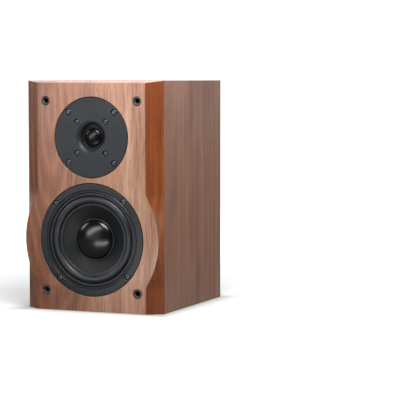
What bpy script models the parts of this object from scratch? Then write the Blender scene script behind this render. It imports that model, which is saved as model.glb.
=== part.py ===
"""Two-way bookshelf loudspeaker, modelled as separate pieces.

Metres, +Z up. The front baffle faces -Y and the terminals face +Y. The origin is
at the centre of the cabinet's footprint, on the plane it stands on.
"""
import math

import bmesh
import bpy
from mathutils import Matrix, Vector

# ---------------------------------------------------------------- cabinet
CABINET_WIDTH = 0.194
CABINET_HEIGHT = 0.298
CABINET_DEPTH = 0.205
CHAMFER_WIDTH = 0.020          # side chamfer of the baffle, seen from the front
CHAMFER_DEPTH = 0.013          # how far the chamfer runs back
TOP_BEVEL = 0.00275            # drop of the baffle's top bevel
BAFFLE_THICKNESS = 0.018
PANEL_THICKNESS = 0.012
BULGE_MARGIN = 0.002           # cabinet side to the widest point of the bulge
BULGE_RADIUS = 0.104           # arc of the rounded cheeks beside the woofer
BRACE_THICKNESS = 0.010
BRACE_RAIL = 0.026             # width left around the window of the brace
WADDING_THICKNESS = 0.013
FIT = 0.0003                   # clearance between neighbours
LOOSE = 0.0005                 # clearance of screw shanks in their holes

# ---------------------------------------------------------------- woofer
WOOFER_HEIGHT = 0.093          # axis above the base
WOOFER_RADIUS = 0.073          # outside of the frame
WOOFER_FLANGE = 0.0042         # thickness of the frame's rim
WOOFER_RIM_WIDTH = 0.0097
BASKET_WALL = 0.0020
BASKET_DEPTH = 0.0422          # front plane to the basket's rear plate
SURROUND_LIP = 0.0040
ROLL_WIDTH = 0.0100
ROLL_HEIGHT = 0.0042
CONE_LIP = 0.0022
CONE_DEPTH = 0.0110             # drop from the cone's edge to its neck
CONE_FLARE = 1.4               # power of the wall's curve, 1 for a straight cone
CONE_SKIN = 0.0011
DUST_CAP_RADIUS = 0.0260
DUST_CAP_HEIGHT = 0.0095
CAP_GLUE = 0.0008              # glue line under the dust cap's rim
COIL_RADIUS = 0.0121           # inside of the voice coil former
COIL_LENGTH = 0.0105
COIL_BUILD = 0.0010
SPIDER_RADIUS = 0.0460
SPIDER_DEPTH = 0.0300
WOOFER_PLATE = 0.0050          # front plate of the motor
WOOFER_PLATE_RADIUS = 0.0350
WOOFER_MAGNET = 0.0140
WOOFER_MAGNET_RADIUS = 0.0400
WOOFER_SCREW_INSET = 0.0048    # screw circle inside the frame's edge
WOOFER_TURN = 48.0             # degrees from +X to the first screw

# ---------------------------------------------------------------- tweeter
TWEETER_DROP = 0.073           # axis below the top
TWEETER_RADIUS = 0.052
TWEETER_PLATE = 0.0037
TWEETER_BOSS = 0.0070          # front plane to the back of the boss
TWEETER_MOUTH = 0.0225         # front radius of the flared recess
TWEETER_THROAT = 0.0160
DOME_RADIUS = 0.0125
DOME_HEIGHT = 0.0052
DOME_SKIN = 0.0005
TWEETER_PLATE_RADIUS = 0.0340
TWEETER_TOP_PLATE = 0.0040
TWEETER_MAGNET = 0.0090
TWEETER_MAGNET_RADIUS = 0.0360
TWEETER_SCREW_CIRCLE = 0.0460
FACE_SCREW_CIRCLE = 0.0287
FACE_SCREW_HEAD = 0.0030

# ---------------------------------------------------------------- grille sockets
SOCKET_INSET_X = 0.012         # from the edge of the flat front
SOCKET_INSET_Z = 0.026         # from the top and the bottom
SOCKET_RADIUS = 0.0060
SOCKET_BODY = 0.0046
SOCKET_BORE = 0.0033
SOCKET_DEPTH = 0.0140

# ---------------------------------------------------------------- rear
PORT_BORE = 0.0220
PORT_WALL = 0.0025
PORT_FLANGE = 0.0310
PORT_LENGTH = 0.0900
PORT_DROP = 0.0730             # axis below the top
CUP_HEIGHT = 0.0880            # terminal cup axis above the base
CUP_PLATE_W = 0.0840
CUP_PLATE_H = 0.0640
CUP_POCKET_W = 0.0520
CUP_POCKET_H = 0.0340
CUP_DEPTH = 0.0185
CUP_WALL = 0.0025
CUP_FLANGE = 0.0027
POST_SPACING = 0.0190
STUD_RADIUS = 0.0026
CAP_RADIUS = 0.0062
CAP_LENGTH = 0.0112

# ---------------------------------------------------------------- crossover
BOARD_W = 0.100
BOARD_D = 0.070
BOARD_T = 0.0016
BOARD_SETBACK = 0.080          # front of the board behind the front plane
COIL_A_RADIUS = 0.0200
COIL_B_RADIUS = 0.0150
CAP_A_RADIUS = 0.0080
CAP_B_RADIUS = 0.0060
LEAD_RADIUS = 0.0012

LARGE, MEDIUM, SMALL = 36, 18, 8      # facets round a circle

# ---------------------------------------------------------------- derived places
FRONT_Y = -CABINET_DEPTH / 2
BACK_Y = CABINET_DEPTH / 2
HALF_W = CABINET_WIDTH / 2
HALF_FRONT = HALF_W - CHAMFER_WIDTH
TWEETER_Z = CABINET_HEIGHT - TWEETER_DROP
PORT_Z = CABINET_HEIGHT - PORT_DROP
SCREW_HEAD = 0.0034
SCREW_SHANK = 0.0015
SCREW_LENGTH = 0.0155


def clear_scene():
    for obj in list(bpy.data.objects):
        bpy.data.objects.remove(obj, do_unlink=True)


def material(name, colour, roughness, metallic=0.0):
    mat = bpy.data.materials.new(name)
    mat.use_nodes = True
    shader = mat.node_tree.nodes["Principled BSDF"]
    shader.inputs["Base Color"].default_value = (*colour, 1.0)
    shader.inputs["Roughness"].default_value = roughness
    shader.inputs["Metallic"].default_value = metallic
    mat.diffuse_color = (*colour, 1.0)
    return mat


def add(name, mesh, mat, parent=None, location=(0, 0, 0), rotation=(0, 0, 0), smooth=True):
    obj = bpy.data.objects.new(name, mesh)
    bpy.context.scene.collection.objects.link(obj)
    if not mesh.materials:
        mesh.materials.append(mat)
    obj.parent = parent
    obj.location = location
    obj.rotation_euler = rotation
    if smooth:
        mesh.shade_smooth()
        mesh.set_sharp_from_angle(angle=math.radians(32))
    return obj


def empty(name, location, rotation=(0, 0, 0)):
    obj = bpy.data.objects.new(name, None)
    bpy.context.scene.collection.objects.link(obj)
    obj.location = location
    obj.rotation_euler = rotation
    return obj


def finish(bm, name):
    bmesh.ops.remove_doubles(bm, verts=bm.verts, dist=2e-6)
    bmesh.ops.dissolve_degenerate(bm, dist=1e-6, edges=bm.edges)
    bmesh.ops.recalc_face_normals(bm, faces=bm.faces)
    mesh = bpy.data.meshes.new(name)
    bm.to_mesh(mesh)
    bm.free()
    return mesh


def turned(name, profile, facets, closed=True):
    """A piece turned about local Y from (radius, depth) points."""
    bm = bmesh.new()
    verts = [bm.verts.new((r, y, 0)) for r, y in profile]
    pairs = list(zip(verts, verts[1:]))
    if closed:
        pairs.append((verts[-1], verts[0]))
    edges = [bm.edges.new(p) for p in pairs]
    bmesh.ops.spin(bm, geom=verts + edges, cent=(0, 0, 0), axis=(0, 1, 0),
                   angle=2 * math.pi, steps=facets, use_duplicate=False)
    return finish(bm, name)


def box(name, low, high):
    bm = bmesh.new()
    size = Vector(high) - Vector(low)
    centre = (Vector(high) + Vector(low)) / 2
    bmesh.ops.create_cube(bm, size=1.0, matrix=Matrix.Translation(centre) @ Matrix.Diagonal((*size, 1)))
    return finish(bm, name)


def prism(name, outline, low, high, axis="Y"):
    """Extrude a closed outline. Axis Y takes (x, z) points, axis Z takes (x, y) points."""
    bm = bmesh.new()
    place = (lambda a, b, c: (a, c, b)) if axis == "Y" else (lambda a, b, c: (a, b, c))
    face = bm.faces.new([bm.verts.new(place(a, b, low)) for a, b in outline])
    grown = bmesh.ops.extrude_face_region(bm, geom=[face])
    shift = Vector(place(0, 0, high - low))
    bmesh.ops.translate(bm, vec=shift, verts=[v for v in grown["geom"] if isinstance(v, bmesh.types.BMVert)])
    return finish(bm, name)


def stack(name, loops):
    """Bridge a series of equal-count loops and cap both ends."""
    bm = bmesh.new()
    rings = [[bm.verts.new(p) for p in loop] for loop in loops]
    for a, b in zip(rings, rings[1:]):
        for i in range(len(a)):
            j = (i + 1) % len(a)
            bm.faces.new((a[i], a[j], b[j], b[i]))
    bm.faces.new(rings[0])
    bm.faces.new(rings[-1])
    return finish(bm, name)


def rounded_loop(width, height, corner, y, steps=3):
    points = []
    for quarter, (sx, sz) in enumerate(((1, 1), (-1, 1), (-1, -1), (1, -1))):
        for k in range(steps + 1):
            angle = math.radians(90 * quarter + 90 * k / steps)
            points.append((sx * (width / 2 - corner) + corner * math.cos(angle), y,
                           sz * (height / 2 - corner) + corner * math.sin(angle)))
    return points


def merge(name, meshes):
    """Several separate closed bodies in one cutter mesh."""
    bm = bmesh.new()
    for mesh, offset in meshes:
        start = len(bm.verts)
        bm.from_mesh(mesh)
        bm.verts.ensure_lookup_table()
        bmesh.ops.translate(bm, vec=Vector(offset), verts=bm.verts[start:])
    mesh = bpy.data.meshes.new(name)
    bm.to_mesh(mesh)
    bm.free()
    return mesh


def cut(target, mesh, parent=None, location=(0, 0, 0), rotation=(0, 0, 0)):
    cutter = bpy.data.objects.new("cut_" + mesh.name, mesh)
    bpy.context.scene.collection.objects.link(cutter)
    cutter.parent = parent
    cutter.location = location
    cutter.rotation_euler = rotation
    cutter.hide_render = True
    cutter.display_type = "WIRE"
    modifier = target.modifiers.new("cut_" + mesh.name, "BOOLEAN")
    modifier.operation = "DIFFERENCE"
    modifier.solver = "EXACT"
    modifier.object = cutter
    return cutter


def ring_places(radius, count=4, start=45.0):
    for k in range(count):
        angle = math.radians(start + 360.0 * k / count)
        yield radius * math.cos(angle), radius * math.sin(angle)


# ---------------------------------------------------------------- cabinet
def front_half_width(z):
    """Half-width of the flat front at height z: straight edges, and an arc beside the woofer."""
    widest = HALF_W - BULGE_MARGIN
    centre = widest - BULGE_RADIUS
    rise = BULGE_RADIUS ** 2 - (z - WOOFER_HEIGHT) ** 2
    if rise <= 0:
        return HALF_FRONT
    return max(HALF_FRONT, centre + math.sqrt(rise))


def bulge_half_height():
    centre = HALF_W - BULGE_MARGIN - BULGE_RADIUS
    return math.sqrt(BULGE_RADIUS ** 2 - (HALF_FRONT - centre) ** 2)


def baffle_mesh():
    reach = bulge_half_height()
    levels = [0.0]
    steps = 16
    for k in range(steps + 1):
        levels.append(WOOFER_HEIGHT - reach * math.cos(math.pi * k / steps))
    levels.append(CABINET_HEIGHT - TOP_BEVEL)
    bm = bmesh.new()
    rings = []
    for z in levels:
        half = front_half_width(z)
        rings.append([bm.verts.new(p) for p in (
            (-HALF_W, BAFFLE_THICKNESS, z), (-HALF_W, CHAMFER_DEPTH, z), (-half, 0, z),
            (half, 0, z), (HALF_W, CHAMFER_DEPTH, z), (HALF_W, BAFFLE_THICKNESS, z))])
    top = [bm.verts.new(p) for p in (
        (-HALF_W, BAFFLE_THICKNESS, CABINET_HEIGHT), (-HALF_W, CHAMFER_DEPTH, CABINET_HEIGHT),
        (HALF_W, CHAMFER_DEPTH, CABINET_HEIGHT), (HALF_W, BAFFLE_THICKNESS, CABINET_HEIGHT))]
    rings.append([top[0], top[1], top[1], top[2], top[2], top[3]])
    for a, b in zip(rings, rings[1:]):
        for i in range(6):
            j = (i + 1) % 6
            corners = []
            for vert in (a[i], a[j], b[j], b[i]):
                if vert not in corners:
                    corners.append(vert)
            bm.faces.new(corners)
    bm.faces.new(rings[0])
    bm.faces.new(top)
    return finish(bm, "front_baffle")


def build_cabinet(wood, inside, felt):
    front = empty("front_plane", (0, FRONT_Y, 0))
    baffle = add("front_baffle", baffle_mesh(), wood, front)

    side_y0 = FRONT_Y + BAFFLE_THICKNESS + FIT
    mitre = 0.0004
    t, w, h = PANEL_THICKNESS, HALF_W, CABINET_HEIGHT
    right = [(w, 0), (w, h), (w - t, h - t), (w - t, t)]
    left = [(-x, z) for x, z in right]
    top = [(-w + mitre, h), (w - mitre, h), (w - t - mitre, h - t), (-w + t + mitre, h - t)]
    base = [(x, h - z) for x, z in top]
    add("right_side_panel", prism("right_side_panel", right, side_y0, BACK_Y), wood, smooth=False)
    add("left_side_panel", prism("left_side_panel", left, side_y0, BACK_Y), wood, smooth=False)
    add("top_panel", prism("top_panel", top, side_y0, BACK_Y), wood, smooth=False)
    add("bottom_panel", prism("bottom_panel", base, side_y0, BACK_Y), wood, smooth=False)
    inner_w, inner_z0, inner_z1 = w - t - FIT, t + FIT, h - t - FIT
    back = add("back_panel", box("back_panel", (-inner_w, BACK_Y - t, inner_z0),
                                 (inner_w, BACK_Y, inner_z1)), wood)

    brace_z = WOOFER_HEIGHT + WOOFER_RADIUS - WOOFER_RIM_WIDTH + 0.0035
    brace_y1 = BACK_Y - t - FIT
    rail = BRACE_RAIL
    outer = [(-inner_w, side_y0), (inner_w, side_y0), (inner_w, brace_y1), (-inner_w, brace_y1)]
    inner = [(-inner_w + rail, side_y0 + rail), (inner_w - rail, side_y0 + rail),
             (inner_w - rail, brace_y1 - rail), (-inner_w + rail, brace_y1 - rail)]
    brace = add("window_brace", prism("window_brace", outer, brace_z, brace_z + BRACE_THICKNESS, "Z"),
                inside, smooth=False)
    cut(brace, prism("brace_window", inner, brace_z - 0.01, brace_z + BRACE_THICKNESS + 0.01, "Z"))

    # polyester wadding lines both sides and the top above the brace
    wad = WADDING_THICKNESS
    z0, z1 = brace_z + BRACE_THICKNESS + FIT, inner_z1
    sheet = [(-inner_w, z0), (-inner_w, z1), (inner_w, z1), (inner_w, z0), (inner_w - wad, z0),
             (inner_w - wad, z1 - wad), (-inner_w + wad, z1 - wad), (-inner_w + wad, z0)]
    add("damping_wadding", prism("damping_wadding", sheet, side_y0 + 0.022, brace_y1 - 0.004), felt,
        smooth=False)
    return front, baffle, back


def socket_places():
    for k, (sx, z) in enumerate(((-1, CABINET_HEIGHT - SOCKET_INSET_Z), (1, CABINET_HEIGHT - SOCKET_INSET_Z),
                                 (-1, SOCKET_INSET_Z), (1, SOCKET_INSET_Z)), 1):
        yield k, sx * (HALF_FRONT - SOCKET_INSET_X), z


def build_sockets(front, baffle, rubber):
    rim = 0.0010
    floor = SOCKET_DEPTH - 0.002
    solid = turned("grille_socket", [
        (0, floor), (SOCKET_BORE, floor), (SOCKET_BORE, 0.0002), (SOCKET_RADIUS - 0.0008, 0.0002),
        (SOCKET_RADIUS, 0.0006), (SOCKET_RADIUS, rim), (SOCKET_BODY, rim), (SOCKET_BODY, SOCKET_DEPTH),
        (0, SOCKET_DEPTH)], SMALL + 6, closed=False)
    seat = turned("socket_seat", [
        (0, -0.002), (SOCKET_RADIUS + FIT, -0.002), (SOCKET_RADIUS + FIT, rim + FIT),
        (SOCKET_BODY + FIT, rim + FIT), (SOCKET_BODY + FIT, SOCKET_DEPTH + FIT), (0, SOCKET_DEPTH + FIT)],
        SMALL + 6, closed=False)
    bodies = []
    for k, x, z in socket_places():
        add("grille_socket_%d" % k, solid, rubber, front, (x, 0, z))
        bodies.append((seat, (x, 0, z)))
    return bodies


# ---------------------------------------------------------------- screws
def screw_mesh(name, head, shank, length):
    thick = 0.0018
    return turned(name, [(0, 0), (head * 0.75, 0), (head, 0.0007), (head, thick), (shank, thick),
                         (shank, length - 0.0015), (0, length)], SMALL, closed=False)


def cross_recess(name, reach, depth=0.0009, arm=0.0005):
    outline = [(arm, arm), (arm, reach), (-arm, reach), (-arm, arm), (-reach, arm), (-reach, -arm),
               (-arm, -arm), (-arm, -reach), (arm, -reach), (arm, -arm), (reach, -arm), (reach, arm)]
    return prism(name, outline, -0.002, depth)


def add_screw(name, mesh, recess, mat, parent, x, y, z):
    obj = add(name, mesh, mat, parent, (x, y, z))
    cut(obj, recess, parent, (x, y, z))
    return obj


# ---------------------------------------------------------------- woofer
def roll_profile(inner, outer, base, height, skin, lip_in, lip_out, steps=6):
    """A half roll between two flat lips, as a closed profile of even skin."""
    mid, half = (inner + outer) / 2, (outer - inner) / 2
    front = [(lip_in, base)]
    back = [(lip_in, base + skin)]
    for k in range(steps + 1):
        angle = math.pi * k / steps
        c, s = math.cos(angle), math.sin(angle)
        front.append((mid - half * c, base - height * s))
        back.append((mid - (half - skin) * c, base + skin - (height - 0.2 * skin) * s))
    front.append((lip_out, base))
    back.append((lip_out, base + skin))
    return front + back[::-1]


def build_woofer(baffle, black, rubber, cone_mat, cap_mat, metal, magnet_mat, copper, cloth, screw_mat):
    axis = empty("woofer_axis", (0, FRONT_Y, WOOFER_HEIGHT))
    r = WOOFER_RADIUS
    wall_out = r - WOOFER_RIM_WIDTH
    wall_in = wall_out - BASKET_WALL
    rim0, rim1 = FIT, FIT + WOOFER_FLANGE
    lip_y = rim1 + 0.0001
    skin = CONE_SKIN
    ledge = lip_y + skin + FIT
    roll_out = wall_in - FIT - SURROUND_LIP
    roll_in = roll_out - ROLL_WIDTH
    spider_out = SPIDER_RADIUS
    ledge_y = SPIDER_DEPTH + 0.0011 + FIT
    ledge_t = 0.0020
    rear0 = BASKET_DEPTH
    rear1 = rear0 + 0.0022
    lower_out = spider_out - 0.0028
    lower_in = lower_out - BASKET_WALL
    bowl_out = spider_out + 0.0040

    basket = add("woofer_basket", turned("woofer_basket", [
        (wall_in, rim0), (r - 0.0008, rim0), (r, rim0 + 0.0007), (r, rim1), (wall_out, rim1),
        (wall_out, ledge + 0.0030), (bowl_out, ledge_y + ledge_t), (lower_out, ledge_y + ledge_t),
        (lower_out, rear1), (COIL_RADIUS + 0.008, rear1), (COIL_RADIUS + 0.008, rear0), (lower_in, rear0),
        (lower_in, ledge_y), (bowl_out - BASKET_WALL, ledge_y), (roll_out - 0.0005, ledge + 0.0018),
        (roll_out - 0.0005, ledge), (wall_in, ledge)], LARGE), black, axis)
    # six windows through the sloping wall
    low, high = ledge + 0.0075, ledge_y - 0.0045
    window = prism("basket_window", [(-0.0170, low), (0.0170, low), (0.0120, high), (-0.0120, high)],
                   spider_out - 0.006, r + 0.01, "Z")
    bm = bmesh.new()
    for k in range(6):
        start = len(bm.verts)
        bm.from_mesh(window)
        bm.verts.ensure_lookup_table()
        bmesh.ops.rotate(bm, cent=(0, 0, 0), matrix=Matrix.Rotation(math.radians(60 * k + 30), 3, "Y"),
                         verts=bm.verts[start:])
    windows = bpy.data.meshes.new("basket_windows")
    bm.to_mesh(windows)
    bm.free()
    cut(basket, windows, axis)

    add("woofer_gasket", turned("woofer_gasket", [
        (roll_out + 0.0006, rim0 + 0.0019), (roll_out + 0.0018, rim0 + 0.0009),
        (wall_in - FIT, rim0 + 0.0009), (wall_in - FIT, lip_y - FIT), (roll_out + 0.0006, lip_y - FIT)],
        LARGE), rubber, axis)
    add("woofer_surround", turned("woofer_surround", roll_profile(
        roll_in, roll_out, lip_y, ROLL_HEIGHT, skin, roll_in - CONE_LIP, wall_in - FIT), LARGE), rubber, axis)

    # paper cone, with a flared wall, from the roll to the coil former
    edge_r, edge_y = roll_in - FIT, lip_y + skin + FIT
    neck_r = COIL_RADIUS + COIL_BUILD + FIT

    def wall_depth(s):
        """Depth of the cone's back from its edge (0) to its neck (1)."""
        return edge_y + skin + CONE_DEPTH * s ** CONE_FLARE

    outer, inner = [], []
    for k in range(7):
        s = k / 6
        rad = edge_r + (neck_r + skin - edge_r) * s
        outer.append((rad, wall_depth(s)))
        inner.append((rad - skin * (0.45 + 0.55 * s), wall_depth(s) - skin))
    inner[0] = (edge_r - skin, edge_y)
    cone = [(edge_r, edge_y)] + outer + inner[::-1]
    add("woofer_cone", turned("woofer_cone", cone, LARGE), cone_mat, axis)

    cap_y = wall_depth((edge_r - DUST_CAP_RADIUS) / (edge_r - neck_r - skin)) - skin - CAP_GLUE
    cap_r, cap_h, cap_t = DUST_CAP_RADIUS, DUST_CAP_HEIGHT, 0.0007
    front, rear = [], []
    for k in range(7):
        s = k / 6
        front.append((cap_r * math.sin(s * math.pi / 2), cap_y - cap_h * math.cos(s * math.pi / 2)))
        rear.append(((cap_r - cap_t) * math.sin(s * math.pi / 2),
                     cap_y - (cap_h - cap_t) * math.cos(s * math.pi / 2)))
    cap = turned("woofer_dust_cap", front + rear[::-1], MEDIUM + 8, closed=False)
    add("woofer_dust_cap", cap, cap_mat, axis)

    # motor
    plate0 = rear1 + FIT
    plate1 = plate0 + WOOFER_PLATE
    magnet0 = plate1 + FIT
    magnet1 = magnet0 + WOOFER_MAGNET
    yoke0 = magnet1 + FIT
    gap_in, gap_out = COIL_RADIUS - FIT, COIL_RADIUS + COIL_BUILD + FIT + 0.0002
    coil_mid = (plate0 + plate1) / 2
    coil0, coil1 = coil_mid - COIL_LENGTH / 2, coil_mid + COIL_LENGTH / 2
    former = 0.0004
    top = edge_y + CONE_DEPTH - 0.002
    add("woofer_voice_coil", turned("woofer_voice_coil", [
        (COIL_RADIUS, top), (COIL_RADIUS + former, top), (COIL_RADIUS + former, coil0),
        (COIL_RADIUS + COIL_BUILD, coil0), (COIL_RADIUS + COIL_BUILD, coil1), (COIL_RADIUS, coil1)],
        MEDIUM), copper, axis)
    waves = 3
    hub, lip_in, lip_out = COIL_RADIUS + former + FIT, COIL_RADIUS + former + 0.0034, spider_out - 0.0045
    upper, lower = [(hub, SPIDER_DEPTH)], [(hub, SPIDER_DEPTH + 0.0009)]
    for k in range(2 * waves + 1):
        rad = lip_in + (lip_out - lip_in) * k / (2 * waves)
        lift = 0.0013 * (-1) ** k if 0 < k < 2 * waves else 0.0
        upper.append((rad, SPIDER_DEPTH - lift))
        lower.append((rad, SPIDER_DEPTH + 0.0009 - lift))
    upper.append((spider_out, SPIDER_DEPTH))
    lower.append((spider_out, SPIDER_DEPTH + 0.0009))
    add("woofer_spider", turned("woofer_spider", upper + lower[::-1], MEDIUM), cloth, axis)
    add("woofer_top_plate", turned("woofer_top_plate", [
        (gap_out, plate0), (WOOFER_PLATE_RADIUS, plate0), (WOOFER_PLATE_RADIUS, plate1), (gap_out, plate1)],
        MEDIUM), metal, axis)
    add("woofer_magnet", turned("woofer_magnet", [
        (gap_out + 0.006, magnet0), (WOOFER_MAGNET_RADIUS - 0.001, magnet0),
        (WOOFER_MAGNET_RADIUS, magnet0 + 0.001), (WOOFER_MAGNET_RADIUS, magnet1 - 0.001),
        (WOOFER_MAGNET_RADIUS - 0.001, magnet1), (gap_out + 0.006, magnet1)], MEDIUM + 4), magnet_mat, axis)
    vent = 0.0050
    add("woofer_yoke", turned("woofer_yoke", [
        (vent, plate0), (gap_in, plate0), (gap_in, yoke0), (WOOFER_MAGNET_RADIUS - 0.003, yoke0),
        (WOOFER_MAGNET_RADIUS - 0.003, yoke0 + 0.0035), (WOOFER_MAGNET_RADIUS - 0.008, yoke0 + 0.0050),
        (vent, yoke0 + 0.0050)], MEDIUM), metal, axis)

    # wood screws in countersunk seats on the rim
    head_y = rim0 + 0.0003
    mesh = screw_mesh("woofer_screw", SCREW_HEAD, SCREW_SHANK, SCREW_LENGTH)
    recess = cross_recess("woofer_screw_recess", SCREW_HEAD * 0.55)
    seat = turned("woofer_screw_seat", [(0, -0.002), (SCREW_HEAD + LOOSE, -0.002),
                  (SCREW_HEAD + LOOSE, head_y + 0.0018 + FIT), (SCREW_SHANK + LOOSE, head_y + 0.0018 + FIT),
                  (SCREW_SHANK + LOOSE, rim1 + 0.002), (0, rim1 + 0.002)], SMALL, closed=False)
    seats, pilots = [], []
    pilot = turned("woofer_pilot", [(0, rim1 - 0.0005), (SCREW_SHANK + LOOSE, rim1 - 0.0005),
                   (SCREW_SHANK + LOOSE, SCREW_LENGTH + 0.0012), (0, SCREW_LENGTH + 0.0012)], SMALL,
                   closed=False)
    for k, (x, z) in enumerate(ring_places(r - WOOFER_SCREW_INSET, start=WOOFER_TURN), 1):
        add_screw("woofer_screw_%d" % k, mesh, recess, screw_mat, axis, x, head_y, z)
        seats.append((seat, (x, 0, z)))
        pilots.append((pilot, (x, 0, WOOFER_HEIGHT + z)))
    cut(basket, merge("woofer_screw_seats", seats), axis)

    hole = turned("woofer_hole", [(0, -0.003), (r + FIT, -0.003), (r + FIT, rim1 + FIT),
                  (wall_out + FIT, rim1 + FIT), (wall_out + FIT, BAFFLE_THICKNESS + 0.003),
                  (0, BAFFLE_THICKNESS + 0.003)], LARGE, closed=False)
    return (hole, (0, 0, WOOFER_HEIGHT)), pilots, yoke0 + 0.0050


# ---------------------------------------------------------------- tweeter
def build_tweeter(black, dome_mat, rubber, metal, magnet_mat, copper, screw_mat):
    axis = empty("tweeter_axis", (0, FRONT_Y, TWEETER_Z))
    r = TWEETER_RADIUS
    face0, face1, boss = FIT, FIT + TWEETER_PLATE, TWEETER_BOSS
    boss_r = TWEETER_PLATE_RADIUS
    flare = []
    for k in range(5):
        s = k / 4
        flare.append((TWEETER_THROAT + (TWEETER_MOUTH - TWEETER_THROAT) * (1 - math.sin(s * math.pi / 2)),
                      face0 + (boss - face0) * (1 - math.cos(s * math.pi / 2))))
    # the mouth is first, the throat is last
    plate = add("tweeter_faceplate", turned("tweeter_faceplate", [
        flare[0], (r - 0.0008, face0), (r, face0 + 0.0008), (r, face1), (boss_r, face1), (boss_r, boss)]
        + flare[:0:-1], LARGE), black, axis)

    plate0 = boss + 0.0016
    plate1 = plate0 + TWEETER_TOP_PLATE
    magnet0, magnet1 = plate1 + FIT, plate1 + FIT + TWEETER_MAGNET
    yoke0 = magnet1 + FIT
    former = 0.0006
    coil_in = DOME_RADIUS - 0.0008
    gap_in, gap_out = coil_in - 0.0004, coil_in + former + 0.0005
    base = boss + 0.0004
    rim = DOME_RADIUS - 0.0001
    front, rear = [], []
    for k in range(6):
        s = k / 5 * math.pi / 2
        front.append((rim * math.sin(s), base - DOME_HEIGHT * math.cos(s)))
        rear.append(((rim - DOME_SKIN) * math.sin(s), base - (DOME_HEIGHT - DOME_SKIN) * math.cos(s)))
    add("tweeter_dome", turned("tweeter_dome", front + rear[::-1], MEDIUM + 4, closed=False), dome_mat, axis)
    add("tweeter_surround", turned("tweeter_surround", roll_profile(
        DOME_RADIUS + 0.0006, TWEETER_THROAT - 0.0009, base, 0.0013, 0.0004, DOME_RADIUS + 0.0002,
        TWEETER_THROAT + 0.0030, 4), MEDIUM + 2), rubber, axis)
    add("tweeter_voice_coil", turned("tweeter_voice_coil", [
        (coil_in, base + 0.0003), (coil_in + former, base + 0.0003), (coil_in + former, plate1 + 0.0010),
        (coil_in, plate1 + 0.0010)], MEDIUM), copper, axis)
    screw_hole = SCREW_SHANK + LOOSE
    top = add("tweeter_top_plate", turned("tweeter_top_plate", [
        (gap_out, plate0), (TWEETER_PLATE_RADIUS, plate0), (TWEETER_PLATE_RADIUS, plate1), (gap_out, plate1)],
        MEDIUM), metal, axis)
    add("tweeter_magnet", turned("tweeter_magnet", [
        (gap_out + 0.005, magnet0), (TWEETER_MAGNET_RADIUS - 0.001, magnet0),
        (TWEETER_MAGNET_RADIUS, magnet0 + 0.001), (TWEETER_MAGNET_RADIUS, magnet1 - 0.001),
        (TWEETER_MAGNET_RADIUS - 0.001, magnet1), (gap_out + 0.005, magnet1)], MEDIUM), magnet_mat, axis)
    add("tweeter_yoke", turned("tweeter_yoke", [
        (0, plate0), (gap_in, plate0), (gap_in, yoke0), (TWEETER_PLATE_RADIUS - 0.001, yoke0),
        (TWEETER_PLATE_RADIUS - 0.001, yoke0 + 0.0040), (0, yoke0 + 0.0040)], MEDIUM, closed=False),
        metal, axis)

    head_y = face0 + 0.0003
    long_mesh = screw_mesh("tweeter_screw", SCREW_HEAD, SCREW_SHANK, SCREW_LENGTH)
    short_len = plate1 - FIT - head_y
    short_mesh = screw_mesh("faceplate_screw", FACE_SCREW_HEAD, SCREW_SHANK, short_len)
    recess = cross_recess("tweeter_screw_recess", SCREW_HEAD * 0.55)
    small_recess = cross_recess("faceplate_screw_recess", FACE_SCREW_HEAD * 0.6)

    def seat(name, head, y1):
        floor = head_y + 0.0018 + FIT
        return turned(name, [(0, -0.002), (head + LOOSE, -0.002), (head + LOOSE, floor),
                      (screw_hole, floor), (screw_hole, y1), (0, y1)], SMALL, closed=False)

    outer_seat = seat("tweeter_screw_seat", SCREW_HEAD, face1 + 0.002)
    inner_seat = seat("faceplate_screw_seat", FACE_SCREW_HEAD, boss + 0.001)
    through = turned("top_plate_hole", [(0, plate0 - 0.001), (screw_hole, plate0 - 0.001),
                     (screw_hole, plate1 + 0.001), (0, plate1 + 0.001)], SMALL, closed=False)
    pilot = turned("tweeter_pilot", [(0, face1 - 0.0005), (screw_hole, face1 - 0.0005),
                   (screw_hole, SCREW_LENGTH + 0.0012), (0, SCREW_LENGTH + 0.0012)], SMALL, closed=False)
    seats, holes, pilots = [], [], []
    for k, (x, z) in enumerate(ring_places(TWEETER_SCREW_CIRCLE), 1):
        add_screw("tweeter_screw_%d" % k, long_mesh, recess, screw_mat, axis, x, head_y, z)
        seats.append((outer_seat, (x, 0, z)))
        pilots.append((pilot, (x, 0, TWEETER_Z + z)))
    for k, (x, z) in enumerate(ring_places(FACE_SCREW_CIRCLE), 1):
        add_screw("faceplate_screw_%d" % k, short_mesh, small_recess, screw_mat, axis, x, head_y, z)
        seats.append((inner_seat, (x, 0, z)))
        holes.append((through, (x, 0, z)))
    cut(plate, merge("tweeter_seats", seats), axis)
    cut(top, merge("top_plate_holes", holes), axis)

    body = max(TWEETER_MAGNET_RADIUS, boss_r) + FIT + 0.001
    hole = turned("tweeter_hole", [
        (0, -0.003), (r + FIT, -0.003), (r + FIT, face1 + FIT), (body, face1 + FIT),
        (body, BAFFLE_THICKNESS + 0.003), (0, BAFFLE_THICKNESS + 0.003)], LARGE, closed=False)
    return (hole, (0, 0, TWEETER_Z)), pilots, yoke0 + 0.0040


# ---------------------------------------------------------------- rear
def knurled(name, profile, ridges):
    mesh = turned(name, profile, 2 * ridges)
    limit = CAP_RADIUS - 0.0004
    for vert in mesh.vertices:
        radius = math.hypot(vert.co.x, vert.co.z)
        index = round(math.atan2(vert.co.z, vert.co.x) / (math.pi / ridges))
        if radius > limit and index % 2:
            scale = (CAP_RADIUS - 0.00045) / radius
            vert.co.x *= scale
            vert.co.z *= scale
    return mesh


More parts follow.
